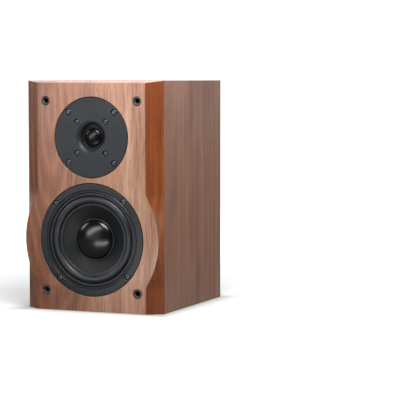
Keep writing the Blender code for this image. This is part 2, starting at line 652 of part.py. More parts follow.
def build_rear(back, black, metal, brass, red, dark, screw_mat):
    turn = (0, 0, math.pi)
    port_axis = empty("port_axis", (0, BACK_Y, PORT_Z), turn)
    cup_axis = empty("cup_axis", (0, BACK_Y, CUP_HEIGHT), turn)
    flare = []
    lip = 0.0050
    for k in range(5):
        angle = math.pi / 2 * k / 4
        flare.append((PORT_BORE + lip * (1 - math.sin(angle)), FIT + lip * (1 - math.cos(angle))))
    outer = PORT_BORE + PORT_WALL
    flange = 0.0030
    add("port_tube", turned("port_tube", flare + [
        (PORT_BORE, PORT_LENGTH), (outer, PORT_LENGTH), (outer, flange), (PORT_FLANGE, flange),
        (PORT_FLANGE, FIT + 0.0010), (PORT_FLANGE - 0.0010, FIT)], MEDIUM + 12), black, port_axis)
    port_hole = turned("port_hole", [
        (0, -0.003), (PORT_FLANGE + FIT, -0.003), (PORT_FLANGE + FIT, flange + FIT),
        (outer + FIT, flange + FIT), (outer + FIT, PANEL_THICKNESS + 0.003), (0, PANEL_THICKNESS + 0.003)],
        MEDIUM + 12, closed=False)
    cut(back, port_hole, port_axis)

    w, h = CUP_POCKET_W, CUP_POCKET_H
    ow, oh = w + 2 * CUP_WALL, h + 2 * CUP_WALL
    pw, ph = CUP_PLATE_W, CUP_PLATE_H
    floor0, floor1 = CUP_DEPTH, CUP_DEPTH + CUP_WALL
    plate1 = FIT + CUP_FLANGE
    cup = add("terminal_cup", stack("terminal_cup", [
        rounded_loop(w, h, 0.005, floor0), rounded_loop(w, h, 0.005, FIT), rounded_loop(pw, ph, 0.006, FIT),
        rounded_loop(pw, ph, 0.006, plate1), rounded_loop(ow, oh, 0.006, plate1),
        rounded_loop(ow, oh, 0.006, floor1)]), black, cup_axis)
    cup_hole = stack("cup_hole", [
        rounded_loop(pw + 2 * FIT, ph + 2 * FIT, 0.006, -0.003),
        rounded_loop(pw + 2 * FIT, ph + 2 * FIT, 0.006, plate1 + FIT),
        rounded_loop(ow + 2 * FIT, oh + 2 * FIT, 0.006, plate1 + FIT),
        rounded_loop(ow + 2 * FIT, oh + 2 * FIT, 0.006, PANEL_THICKNESS + 0.003)])
    cut(back, cup_hole, cup_axis)

    # four screws hold the cup
    head_y = FIT + 0.0003
    head, shank = 0.0028, 0.0012
    length = PANEL_THICKNESS - 0.0025
    mesh = screw_mesh("cup_screw", head, shank, length)
    mesh_recess = cross_recess("cup_screw_recess", head * 0.6, 0.0008, 0.0004)
    floor = head_y + 0.0018 + FIT
    seat = turned("cup_screw_seat", [(0, -0.002), (head + FIT, -0.002), (head + FIT, floor),
                  (shank + LOOSE, floor), (shank + LOOSE, plate1 + 0.002), (0, plate1 + 0.002)],
                  SMALL, closed=False)
    pilot = turned("cup_pilot", [(0, plate1 - 0.0005), (shank + LOOSE, plate1 - 0.0005),
                   (shank + LOOSE, length + 0.0012), (0, length + 0.0012)], SMALL, closed=False)
    seats, pilots = [], []
    for k, (sx, sz) in enumerate(((1, 1), (-1, 1), (-1, -1), (1, -1)), 1):
        x, z = sx * (pw / 2 - 0.007), sz * (ph / 2 - 0.007)
        add_screw("cup_screw_%d" % k, mesh, mesh_recess, screw_mat, cup_axis, x, head_y, z)
        seats.append((seat, (x, 0, z)))
        pilots.append((pilot, (x, 0, z)))
    cut(cup, merge("cup_seats", seats), cup_axis)
    cut(back, merge("cup_pilots", pilots), cup_axis)

    # binding posts: fixed threaded stud, loose clamp washer, knurled cap
    collar0, collar1 = floor0 - FIT, floor0 - FIT - 0.0035
    tail = floor1 + 0.0080
    washer1 = collar1 - FIT
    washer0 = washer1 - 0.0010
    cap1 = washer0 - FIT
    cap0 = cap1 - CAP_LENGTH
    end = 0.0008
    tip = cap0 + end + FIT
    stud = turned("post_stud", [
        (0, tip), (STUD_RADIUS - 0.0005, tip), (STUD_RADIUS, tip + 0.0006), (STUD_RADIUS, collar1),
        (CAP_RADIUS - 0.0004, collar1), (CAP_RADIUS - 0.0004, collar0), (STUD_RADIUS, collar0),
        (STUD_RADIUS, tail), (0, tail)], SMALL, closed=False)
    washer = turned("post_washer", [(STUD_RADIUS + FIT, washer0), (CAP_RADIUS - 0.0006, washer0),
                    (CAP_RADIUS - 0.0006, washer1), (STUD_RADIUS + FIT, washer1)], SMALL + 4)
    bore = STUD_RADIUS + LOOSE
    cap = knurled("post_cap", [
        (0.0021, cap0), (CAP_RADIUS - 0.0012, cap0), (CAP_RADIUS - 0.0002, cap0 + 0.0010),
        (CAP_RADIUS - 0.0002, cap1 - 0.0008), (CAP_RADIUS - 0.0008, cap1), (bore, cap1), (bore, cap0 + end),
        (0.0021, cap0 + end)], 12)
    tails = []
    stud_hole = turned("stud_hole", [(0, floor0 - 0.001), (STUD_RADIUS + FIT, floor0 - 0.001),
                       (STUD_RADIUS + FIT, floor1 + 0.001), (0, floor1 + 0.001)], SMALL, closed=False)
    # seen from behind, the red post is on the right
    for name, side, mat in (("red", 1, red), ("black", -1, dark)):
        x = side * POST_SPACING / 2
        add("post_stud_" + name, stud, brass, cup_axis, (x, 0, 0))
        add("post_washer_" + name, washer, metal, cup_axis, (x, 0, 0))
        own = cap.copy()
        own.materials.clear()
        own.materials.append(mat)
        add("post_cap_" + name, own, mat, cup_axis, (x, 0, 0))
        tails.append((stud_hole, (x, 0, 0)))
    cut(cup, merge("stud_holes", tails), cup_axis)
    return tail


# ---------------------------------------------------------------- crossover and leads
def lead(name, points, mat):
    curve = bpy.data.curves.new(name, "CURVE")
    curve.dimensions = "3D"
    curve.bevel_depth = LEAD_RADIUS
    curve.bevel_resolution = 0
    curve.use_fill_caps = True
    curve.resolution_u = 4
    spline = curve.splines.new("BEZIER")
    spline.bezier_points.add(len(points) - 1)
    for knot, place in zip(spline.bezier_points, points):
        knot.co = place
        knot.handle_left_type = knot.handle_right_type = "AUTO"
    curve.materials.append(mat)
    obj = bpy.data.objects.new(name, curve)
    bpy.context.scene.collection.objects.link(obj)
    return obj


def build_crossover(green, copper, film, cable, woofer_back, tweeter_back):
    z0 = PANEL_THICKNESS + FIT
    z1 = z0 + BOARD_T
    y0 = FRONT_Y + BOARD_SETBACK
    yc = y0 + BOARD_D / 2
    board = box("crossover_board", (-BOARD_W / 2, y0, z0), (BOARD_W / 2, y0 + BOARD_D, z1))
    add("crossover_board", board, green)
    upright = (math.radians(90), 0, 0)

    def coil(name, radius, height, x, y):
        bore = radius * 0.45
        mesh = turned(name, [(bore, 0), (radius, 0), (radius, 0.0012), (radius - 0.0012, 0.0022),
                      (radius - 0.0012, height - 0.0022), (radius, height - 0.0012), (radius, height),
                      (bore, height)], MEDIUM)
        add(name, mesh, copper, None, (x, y, z1 + FIT), upright)

    def capacitor(name, radius, length, x, y):
        mesh = turned(name, [(0, 0), (radius - 0.001, 0), (radius, 0.001), (radius, length - 0.001),
                      (radius - 0.001, length), (0, length)], SMALL + 4, closed=False)
        add(name, mesh, film, None, (x, y, z1 + FIT + radius), (0, 0, math.radians(90)))

    coil("inductor_woofer", COIL_A_RADIUS, 0.016, -BOARD_W / 2 + COIL_A_RADIUS + 0.004, yc)
    coil("inductor_tweeter", COIL_B_RADIUS, 0.012, BOARD_W / 2 - COIL_B_RADIUS - 0.004,
         y0 + BOARD_D - COIL_B_RADIUS - 0.004)
    right = BOARD_W / 2 - 0.004
    capacitor("capacitor_tweeter", CAP_A_RADIUS, 0.030, right, y0 + 0.004 + CAP_A_RADIUS)
    capacitor("capacitor_woofer", CAP_B_RADIUS, 0.026, right, y0 + 0.008 + 2 * CAP_A_RADIUS + CAP_B_RADIUS)

    board_z = z1 + LEAD_RADIUS + FIT
    woof_y = FRONT_Y + woofer_back
    tweet_y = FRONT_Y + tweeter_back
    lead("woofer_lead", [
        (-0.004, y0 + 0.010, board_z), (-0.002, y0 + 0.004, board_z + 0.012),
        (0.006, woof_y + 0.006, WOOFER_HEIGHT - 0.040), (0.004, woof_y + 0.004, WOOFER_HEIGHT - 0.020),
        (0.002, woof_y + 0.002, WOOFER_HEIGHT - 0.012)], cable)
    lead("tweeter_lead", [
        (0.002, y0 + 0.040, board_z), (0.000, y0 + 0.043, board_z + 0.020),
        (-0.004, y0 + 0.030, WOOFER_HEIGHT), (-0.006, y0 + 0.015, WOOFER_HEIGHT + 0.070),
        (-0.004, tweet_y + 0.020, TWEETER_Z - 0.030), (0.000, tweet_y + 0.003, TWEETER_Z - 0.010)], cable)


def main():
    clear_scene()
    wood = material("walnut_vinyl", (0.35, 0.17, 0.085), 0.45)
    board = material("raw_board", (0.42, 0.30, 0.19), 0.85)
    felt = material("white_wadding", (0.75, 0.75, 0.72), 1.0)
    black = material("black_frame", (0.022, 0.024, 0.027), 0.42)
    plastic = material("black_plastic", (0.016, 0.016, 0.018), 0.38)
    rubber = material("black_rubber", (0.012, 0.012, 0.013), 0.55)
    socket = material("grey_socket", (0.045, 0.046, 0.050), 0.60)
    paper = material("black_cone", (0.020, 0.021, 0.024), 0.70)
    gloss = material("gloss_cap", (0.010, 0.011, 0.013), 0.22)
    silk = material("silk_dome", (0.012, 0.013, 0.016), 0.35)
    steel = material("zinc_steel", (0.55, 0.55, 0.53), 0.35, 1.0)
    ferrite = material("ferrite", (0.035, 0.035, 0.037), 0.60)
    copper = material("copper_wire", (0.72, 0.32, 0.16), 0.35, 1.0)
    cloth = material("spider_cloth", (0.40, 0.27, 0.11), 0.90)
    screws = material("black_screw", (0.035, 0.036, 0.040), 0.30, 0.8)
    brass = material("gilt_brass", (0.80, 0.58, 0.22), 0.25, 1.0)
    red = material("red_cap", (0.42, 0.012, 0.012), 0.30)
    dark = material("black_cap", (0.014, 0.014, 0.015), 0.30)
    green = material("board_green", (0.03, 0.16, 0.07), 0.50)
    film = material("film_sleeve", (0.50, 0.38, 0.06), 0.35)
    cable = material("cable_sleeve", (0.02, 0.02, 0.02), 0.50)

    front, baffle, back = build_cabinet(wood, board, felt)
    woofer_hole, woofer_pilots, woofer_back = build_woofer(
        baffle, black, rubber, paper, gloss, steel, ferrite, copper, cloth, screws)
    tweeter_hole, tweeter_pilots, tweeter_back = build_tweeter(
        plastic, silk, rubber, steel, ferrite, copper, screws)
    sockets = build_sockets(front, baffle, socket)
    cut(baffle, merge("baffle_holes", [woofer_hole, tweeter_hole] + sockets), front)
    cut(baffle, merge("baffle_pilots", woofer_pilots + tweeter_pilots), front)
    build_rear(back, plastic, steel, brass, red, dark, screws)
    build_crossover(green, copper, film, cable, woofer_back, tweeter_back)


main()
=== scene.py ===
"""A two-way bookshelf loudspeaker in walnut wrap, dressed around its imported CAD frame."""

import logging
import math
from dataclasses import dataclass, field
from enum import Enum
from typing import Iterable, Iterator, Sequence

import bmesh
import bpy
from mathutils import Matrix, Vector


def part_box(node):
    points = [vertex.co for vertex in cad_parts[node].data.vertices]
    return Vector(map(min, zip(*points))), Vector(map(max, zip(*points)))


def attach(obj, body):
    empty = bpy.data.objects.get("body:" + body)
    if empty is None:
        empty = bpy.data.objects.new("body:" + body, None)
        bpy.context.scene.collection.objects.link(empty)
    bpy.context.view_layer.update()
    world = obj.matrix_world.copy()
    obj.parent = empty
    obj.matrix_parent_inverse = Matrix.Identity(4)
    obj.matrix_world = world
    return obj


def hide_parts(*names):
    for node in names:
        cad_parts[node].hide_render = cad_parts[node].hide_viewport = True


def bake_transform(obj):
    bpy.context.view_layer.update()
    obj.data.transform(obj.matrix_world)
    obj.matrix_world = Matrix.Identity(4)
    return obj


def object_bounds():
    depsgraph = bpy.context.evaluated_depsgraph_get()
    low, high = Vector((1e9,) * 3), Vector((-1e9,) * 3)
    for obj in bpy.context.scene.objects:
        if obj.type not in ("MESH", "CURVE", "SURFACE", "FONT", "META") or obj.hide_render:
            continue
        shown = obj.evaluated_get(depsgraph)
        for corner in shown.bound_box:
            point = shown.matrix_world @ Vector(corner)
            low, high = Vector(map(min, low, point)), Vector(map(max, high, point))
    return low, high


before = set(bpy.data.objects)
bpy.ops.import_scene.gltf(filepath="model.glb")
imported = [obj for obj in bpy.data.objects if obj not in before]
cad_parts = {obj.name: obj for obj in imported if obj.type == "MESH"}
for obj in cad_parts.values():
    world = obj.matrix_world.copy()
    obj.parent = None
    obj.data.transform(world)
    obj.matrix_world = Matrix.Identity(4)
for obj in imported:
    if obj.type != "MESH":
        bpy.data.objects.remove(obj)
CAD_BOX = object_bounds()

log = logging.getLogger("bookshelf_speaker")

Point = tuple[float, float]
MM = 0.001


class Side(Enum):
    """The two terminals, by colour."""

    RED = "red"
    BLACK = "black"


class Run(Enum):
    """The directions that a wrap's grain or fold can run in."""

    ACROSS = "X"
    DEEP = "Y"
    UPRIGHT = "Z"


class Axis(Enum):
    """Which way a turned piece's depth runs from its mounting plane."""

    FRONT = 1.0
    REAR = -1.0


# ------------------------------------------------------------------ colour and node helpers
def linear(code: str) -> tuple[float, float, float, float]:
    """Turn an sRGB hex colour to linear RGBA.

    Args:
        code: The colour as "#rrggbb".

    Returns:
        The colour in linear light, with an alpha of 1.
    """
    parts = [int(code[i:i + 2], 16) / 255 for i in (1, 3, 5)]
    red, green, blue = (c / 12.92 if c <= 0.04045 else ((c + 0.055) / 1.055) ** 2.4 for c in parts)
    return red, green, blue, 1.0


def per_mm(size: float) -> float:
    """Return the noise scale whose features are about size millimetres across."""
    return 1.0 / (size * MM)


class Surface:
    """A material's node tree, with one method that adds a node."""

    def __init__(self, name: str) -> None:
        """Make an empty Principled material called name."""
        self.material = bpy.data.materials.new(name)
        self.material.use_nodes = True
        self.tree = self.material.node_tree
        self.shader = self.tree.nodes["Principled BSDF"]

    def add(self, kind: str, settings: dict | None = None, **inputs) -> bpy.types.Node:
        """Add a node with its settings, values and links.

        Args:
            kind: The node's type, without the ShaderNode prefix.
            settings: Attributes to set on the node.
            **inputs: A socket by name (spaces as underscores) or by i and its number, and a value
                or an output socket to link to it.

        Returns:
            The new node.
        """
        node = self.tree.nodes.new("ShaderNode" + kind)
        for key, value in (settings or {}).items():
            setattr(node, key, value)
        for key, value in inputs.items():
            plain = key[1:]
            socket = node.inputs[int(plain) if plain.isdigit() else key.replace("_", " ")]
            if isinstance(value, bpy.types.NodeSocket):
                self.tree.links.new(value, socket)
            else:
                socket.default_value = value
        return node

    def ramp(self, fac: bpy.types.NodeSocket, stops: Sequence[tuple[float, str]]) -> bpy.types.NodeSocket:
        """Colour a value by stops.

        Args:
            fac: The value that picks the colour.
            stops: Positions and sRGB hex colours.

        Returns:
            The ramp's colour output.
        """
        node = self.add("ValToRGB", Fac=fac)
        band = node.color_ramp
        while len(band.elements) < len(stops):
            band.elements.new(0.5)
        for element, (place, code) in zip(band.elements, stops):
            element.position, element.color = place, linear(code)
        return node.outputs["Color"]

    def span(self, value: bpy.types.NodeSocket, low: float, high: float, out_low: float = 0.0,
             out_high: float = 1.0) -> bpy.types.NodeSocket:
        """Remap a value from low..high to out_low..out_high, held at both ends."""
        node = self.add("MapRange", i0=value, i1=low, i2=high, i3=out_low, i4=out_high)
        return node.outputs[0]

    def noise(self, vector: bpy.types.NodeSocket, scale: float, detail: float = 2.0,
              rough: float = 0.5) -> bpy.types.NodeSocket:
        """Add a noise pattern and return its value."""
        return self.add("TexNoise", Vector=vector, Scale=scale, Detail=detail,
                        Roughness=rough).outputs["Fac"]

    def mix(self, fac: bpy.types.NodeSocket | float, a: bpy.types.NodeSocket, b: bpy.types.NodeSocket,
            blend: str = "MIX") -> bpy.types.NodeSocket:
        """Mix two colours and return the result."""
        node = self.add("Mix", {"data_type": "RGBA", "blend_type": blend}, i0=fac, i6=a, i7=b)
        return node.outputs[2]

    def place(self, scale: tuple[float, float, float] = (1, 1, 1),
              shift: tuple[float, float, float] = (0, 0, 0)) -> bpy.types.NodeSocket:
        """Return the object's own coordinates, moved and stretched."""
        coords = self.add("TexCoord").outputs["Object"]
        return self.add("Mapping", Vector=coords, Location=shift, Scale=scale).outputs[0]

    def bump(self, height: bpy.types.NodeSocket, depth: float, under: bpy.types.NodeSocket | None = None
             ) -> bpy.types.NodeSocket:
        """Turn a height pattern into a normal, depth in metres."""
        node = self.add("Bump", Height=height, Distance=depth, Strength=1.0)
        if under is not None:
            self.tree.links.new(under, node.inputs["Normal"])
        return node.outputs["Normal"]

    def link(self, **sockets) -> None:
        """Set or link the shader's own sockets, by name with spaces as underscores."""
        for key, value in sockets.items():
            socket = self.shader.inputs[key.replace("_", " ")]
            if isinstance(value, bpy.types.NodeSocket):
                self.tree.links.new(value, socket)
            else:
                socket.default_value = value


# ------------------------------------------------------------------ finishes
@dataclass(frozen=True)
class WalnutWrap:
    """Printed walnut vinyl over board: long upright grain in warm tan, red and grey brown, satin."""

    name: str
    light: str
    middle: str
    dark: str
    streak: str
    band_mm: float = 17.0
    line_mm: float = 3.0
    pore_mm: float = 0.7
    stretch: float = 0.045
    waver_mm: float = 5.0
    figure: float = 0.55
    # tones multiplied across the sheet from left to right: on the front a painted shade at the left and a painted
    # sheen at the right, on the stripe a plain tint
    left_tint_and_shade: str = "#ffffff"
    right_tint_and_sheen: str = "#ffffff"
    roughness: float = 0.40
    grain: Run = Run.UPRIGHT
    folded: Run | None = None

    def along(self, share: float, across: float = 1.0) -> tuple[float, float, float]:
        """Scale of each axis: share along the grain, little along the axis it folds over, else across."""
        x, y, z = (share if run is self.grain else 0.06 * across if run is self.folded else across
                   for run in Run)
        return x, y, z

    def build(self) -> bpy.types.Material:
        """Build the material from stretched noise: bands, lines, cathedral figure and pores."""
        s = Surface(self.name)
        raw = s.place()
        # the grain line wanders a few millimetres along the board's height
        drift = s.add("TexNoise", Vector=s.place(self.along(0.5)), Scale=per_mm(70), Detail=2.0).outputs["Color"]
        offset = s.add("VectorMath", {"operation": "SUBTRACT"}, i0=drift, i1=(0.5, 0.5, 0.5)).outputs[0]
        reach = 2 * self.waver_mm * MM
        offset = s.add("VectorMath", {"operation": "MULTIPLY"}, i0=offset, i1=self.along(0.0, reach)).outputs[0]
        bent = s.add("VectorMath", {"operation": "ADD"}, i0=raw, i1=offset).outputs[0]
        grain = s.add("VectorMath", {"operation": "MULTIPLY"}, i0=bent, i1=self.along(self.stretch)).outputs[0]
        short = s.add("VectorMath", {"operation": "MULTIPLY"}, i0=bent, i1=self.along(0.07)).outputs[0]
        bands = s.noise(grain, per_mm(self.band_mm), 2.0, 0.5)
        lines = s.noise(grain, per_mm(self.line_mm), 4.0, 0.7)
        pores = s.noise(short, per_mm(self.pore_mm), 1.0)
        base = s.ramp(s.span(bands, 0.34, 0.68), ((0.0, self.dark), (0.45, self.middle), (1.0, self.light)))
        fine = s.ramp(s.span(lines, 0.30, 0.62), ((0.0, self.streak), (0.40, self.middle), (1.0, self.light)))
        colour = s.mix(0.52, base, fine)
        if self.figure > 0:
            # flat-sawn arches where the board's rings come to the face
            arch = s.add("VectorMath", {"operation": "MULTIPLY"}, i0=bent, i1=(1, 1, 0.20)).outputs[0]
            heart = s.add("Mapping", Vector=arch, Location=(0.055, 0.0, -0.052)).outputs[0]
            rings = s.add("TexWave", {"wave_type": "RINGS", "rings_direction": "Y"}, Vector=heart,
                          Scale=0.32 * per_mm(10), Distortion=1.2, Detail=2.0, Detail_Scale=0.6).outputs["Fac"]
            ringed = s.ramp(rings, ((0.0, self.streak), (0.35, self.dark), (0.75, self.middle), (1.0, self.light)))
            reach_x = s.add("SeparateXYZ", Vector=bent).outputs["X"]
            where = s.span(reach_x, 0.010, -0.030, 0.0, self.figure)
            colour = s.mix(where, colour, ringed)
        specks = s.ramp(pores, ((0.0, self.streak), (1.0, self.dark)))
        colour = s.mix(s.span(pores, 0.58, 0.72, 0.0, 0.50), colour, specks)
        # slow drifts of tone over the sheet, and a left-to-right run of tone, which on the front is painted shade at
        # the left and a paler, greyer painted sheen at the right
        tone = s.noise(s.place(self.along(0.25)), per_mm(45), 1.0)
        warm = s.ramp(s.span(tone, 0.35, 0.65), ((0.0, "#dcbcae"), (0.5, "#fff6f0"), (1.0, "#f8d8bc")))
        colour = s.mix(0.7, colour, warm, "MULTIPLY")
        across = s.span(s.add("SeparateXYZ", Vector=raw).outputs["X"], -0.075, 0.075)
        colour = s.mix(1.0, colour, s.ramp(across, ((0.0, self.left_tint_and_shade), (1.0, self.right_tint_and_sheen))), "MULTIPLY")
        sheen = s.span(lines, 0.2, 0.8, self.roughness + 0.06, self.roughness - 0.05)
        relief = s.bump(pores, 0.00003, s.bump(lines, 0.00004))
        s.link(Base_Color=colour, Roughness=sheen, Normal=relief, IOR=1.5, Coat_Weight=0.25, Coat_Roughness=0.22)
        return s.material


@dataclass(frozen=True)
class Grained:
    """Moulded, painted or rubber surface: a fine grain with slow changes of tone and gloss."""

    name: str
    low: str
    high: str
    roughness: float
    grain_mm: float = 0.6
    depth_mm: float = 0.02
    metallic: float = 0.0
    coat: float = 0.0
    sheen: float = 0.0
    patchy: float = 0.05
    gloss: float = 0.5

    def build(self) -> bpy.types.Material:
        """Build the material."""
        s = Surface(self.name)
        raw = s.place()
        grain = s.noise(raw, per_mm(self.grain_mm), 2.0, 0.6)
        cloud = s.noise(raw, per_mm(24), 3.0)
        tone = s.mix(0.35, s.ramp(s.span(cloud, 0.3, 0.7), ((0.0, self.low), (1.0, self.high))),
                     s.ramp(s.span(grain, 0.3, 0.7), ((0.0, self.low), (1.0, self.high))))
        rough = s.span(cloud, 0.3, 0.7, max(0.03, self.roughness - self.patchy), self.roughness + self.patchy)
        s.link(Base_Color=tone, Roughness=rough, Metallic=self.metallic, Normal=s.bump(grain, self.depth_mm * MM),
               Coat_Weight=self.coat, Coat_Roughness=0.08, Sheen_Weight=self.sheen)
        if self.metallic < 0.5:
            s.link(IOR=1.5, Specular_IOR_Level=self.gloss)
        return s.material


@dataclass(frozen=True)
class TurnedFinish:
    """A finish that runs round an axis along Y: tooling rings, pressed paper ribs or brushed turning marks."""

    name: str
    low: str
    high: str
    roughness: float
    axis_z: float
    ring_mm: float = 1.1
    depth_mm: float = 0.015
    metallic: float = 0.0
    coat: float = 0.0
    grain_mm: float = 0.7
    gloss: float = 0.5

    def build(self) -> bpy.types.Material:
        """Build the material from rings about the axis and a fine grain."""
        s = Surface(self.name)
        centred = s.place(shift=(0.0, 0.0, -self.axis_z))
        flat = s.add("VectorMath", {"operation": "MULTIPLY"}, i0=centred, i1=(1, 0, 1)).outputs[0]
        radius = s.add("VectorMath", {"operation": "LENGTH"}, i0=flat).outputs["Value"]
        turns = s.add("Math", {"operation": "MULTIPLY"}, i0=radius, i1=2 * math.pi * per_mm(self.ring_mm)).outputs[0]
        rings = s.add("Math", {"operation": "SINE"}, i0=turns).outputs[0]
        grain = s.noise(s.place(), per_mm(self.grain_mm), 2.0, 0.6)
        cloud = s.noise(s.place(), per_mm(30), 2.0)
        tone = s.ramp(s.span(cloud, 0.3, 0.7), ((0.0, self.low), (1.0, self.high)))
        rough = s.span(cloud, 0.3, 0.7, self.roughness - 0.04, self.roughness + 0.05)
        relief = s.bump(grain, 0.5 * self.depth_mm * MM, s.bump(s.span(rings, -1, 1), self.depth_mm * MM))
        s.link(Base_Color=tone, Roughness=rough, Metallic=self.metallic, Normal=relief,
               Coat_Weight=self.coat, Coat_Roughness=0.10)
        if self.metallic < 0.5:
            s.link(Specular_IOR_Level=self.gloss)
        return s.material


@dataclass(frozen=True)
class WovenFinish:
    """Woven cloth under a coating: a square weave whose threads show as fine relief."""

    name: str
    low: str
    high: str
    roughness: float
    thread_mm: float = 0.8
    depth_mm: float = 0.06
    coat: float = 0.0
    sheen: float = 0.1
    gloss: float = 0.5

    def build(self) -> bpy.types.Material:
        """Build the material."""
        s = Surface(self.name)
        x, y, z = s.add("SeparateXYZ", Vector=s.place()).outputs
        turn = math.pi * per_mm(self.thread_mm)
        warp = s.add("Math", {"operation": "SINE"}, i0=s.add(
            "Math", {"operation": "MULTIPLY"}, i0=x, i1=turn).outputs[0]).outputs[0]
        weft = s.add("Math", {"operation": "SINE"}, i0=s.add(
            "Math", {"operation": "MULTIPLY"}, i0=z, i1=turn).outputs[0]).outputs[0]
        cross = s.add("Math", {"operation": "MULTIPLY"}, i0=warp, i1=weft).outputs[0]
        lift = s.span(cross, -1, 1)
        fuzz = s.noise(s.place(), per_mm(0.7), 2.0)
        tone = s.mix(0.5, s.ramp(lift, ((0.0, self.low), (1.0, self.high))),
                     s.ramp(fuzz, ((0.3, self.low), (0.7, self.high))))
        s.link(Base_Color=tone, Roughness=s.span(fuzz, 0.2, 0.8, self.roughness - 0.05, self.roughness + 0.05),
               Normal=s.bump(lift, self.depth_mm * MM), Coat_Weight=self.coat, Coat_Roughness=0.2,
               Sheen_Weight=self.sheen, Specular_IOR_Level=self.gloss)
        return s.material


class Finishes:
    """Every finish of the loudspeaker, built once and picked by attribute."""

    def __init__(self, woofer_z: float, tweeter_z: float) -> None:
        """Build the materials.

        Args:
            woofer_z: Height of the woofer's axis.
            tweeter_z: Height of the tweeter's axis.
        """
        # painted light on the front: its tones darken and warm the left as painted shade, and pale and grey the right
        # as a painted sheen
        self.front = WalnutWrap("walnut_wrap_front", "#e9bea4", "#c49270", "#8f5d43", "#6e422c", line_mm=2.2,
                                figure=0.28, left_tint_and_shade="#c8a78a", right_tint_and_sheen="#f8fcff", folded=Run.DEEP).build()
        # the right chamfer is a straighter, more orange strip of the same print
        self.stripe = WalnutWrap("walnut_wrap_stripe", "#a8714c", "#8a5535", "#6c3f24", "#573018", band_mm=7.0,
                                 line_mm=2.2, waver_mm=1.0, figure=0.0, stretch=0.02, left_tint_and_shade="#ffe6dc",
                                 right_tint_and_sheen="#edc788", folded=Run.DEEP).build()
        # quarter-cut print on the cabinet's sides, greyer and quieter, folded over the top
        quiet = {"light": "#9c7259", "middle": "#865f4a", "dark": "#734d3b", "streak": "#644031", "band_mm": 14.0,
                 "line_mm": 4.0, "waver_mm": 1.5, "figure": 0.0, "stretch": 0.02, "roughness": 0.42}
        self.side = WalnutWrap("walnut_wrap_side", **quiet).build()
        self.top = WalnutWrap("walnut_wrap_top", grain=Run.ACROSS, **quiet).build()
        self.raw_board = Grained("sawn_fibreboard", "#7d5f45", "#93745a", 0.85, 0.5, 0.05).build()
        # satin stoving enamel on the pressed frame, with a faint orange peel
        self.frame_enamel = TurnedFinish("stoved_black_enamel", "#1b1e22", "#22262a", 0.38, woofer_z,
                                         ring_mm=1.6, depth_mm=0.006, grain_mm=0.8, gloss=0.4).build()
        self.plate_abs = Grained("sparked_abs", "#1b1f25", "#22262d", 0.46, 0.55, 0.03, gloss=0.4).build()
        self.black_abs = Grained("moulded_black_abs", "#151618", "#1d1e21", 0.42, 0.5, 0.02).build()
        self.surround_rubber = Grained("butyl_rubber", "#14171c", "#1d2127", 0.42, 0.8, 0.006).build()
        self.trim_rubber = Grained("pressed_foam_trim", "#181b20", "#22262c", 0.46, 0.6, 0.01).build()
        self.cone_paper = TurnedFinish("coated_pressed_paper", "#0b0e10", "#121619", 0.40, woofer_z,
                                       ring_mm=1.4, depth_mm=0.010, grain_mm=0.9, gloss=0.24).build()
        self.cap_gloss = Grained("lacquered_dust_cap", "#040405", "#060607", 0.22, 1.2, 0.0006, patchy=0.02).build()
        self.cap_bead = Grained("clear_glue_bead", "#202327", "#2c2f33", 0.32, 0.8, 0.006).build()
        self.silk = WovenFinish("doped_silk", "#040507", "#07080b", 0.24, 0.5, 0.0012, sheen=0.0, gloss=0.3).build()
        self.dome_rubber = Grained("doped_dome_roll", "#060709", "#0b0c0f", 0.34, 0.5, 0.004, gloss=0.35).build()
        self.screw_black = Grained("black_oxide_steel", "#4a4c50", "#5a5c60", 0.28, 0.4, 0.01, metallic=0.85).build()
        self.socket_rubber = Grained("grey_socket_rubber", "#3c3c3e", "#4a4a4c", 0.60, 0.5, 0.03).build()
        self.zinc = Grained("zinc_plated_steel", "#a8a8a2", "#b8b8b4", 0.32, 0.8, 0.01, metallic=1.0).build()
        self.ferrite = Grained("sintered_ferrite", "#26272a", "#343538", 0.62, 0.7, 0.05).build()
        self.brass = Grained("gilt_brass", "#d8a94e", "#e6bd6a", 0.22, 0.5, 0.006, metallic=1.0).build()
        self.red_cap = Grained("red_acrylic_cap", "#8e1216", "#a51a1e", 0.25, 0.6, 0.004, coat=0.4).build()
        self.black_cap = Grained("black_acrylic_cap", "#121214", "#1a1a1d", 0.25, 0.6, 0.004, coat=0.4).build()
        self.copper = TurnedFinish("enamelled_copper", "#9c4f28", "#b8683a", 0.34, tweeter_z, ring_mm=0.6,
                                   depth_mm=0.08, metallic=0.9).build()
        self.spider = WovenFinish("phenolic_cloth", "#8f6f3f", "#a98954", 0.85, 0.7, 0.1).build()
        self.wadding = Grained("polyester_wadding", "#cfcfca", "#ecece8", 0.98, 2.5, 0.8, sheen=0.4).build()
        self.board_green = Grained("solder_masked_board", "#0f4a2a", "#17603a", 0.38, 1.5, 0.02, coat=0.2).build()
        self.film = Grained("film_capacitor_sleeve", "#b08a1e", "#c79f30", 0.32, 1.0, 0.005).build()
        self.sleeve = Grained("pvc_cable_sleeve", "#141416", "#1e1e20", 0.45, 0.6, 0.01).build()
        self.mark_red = Grained("red_marking_ring", "#8e1a1c", "#a32022", 0.45, 0.6, 0.01).build()


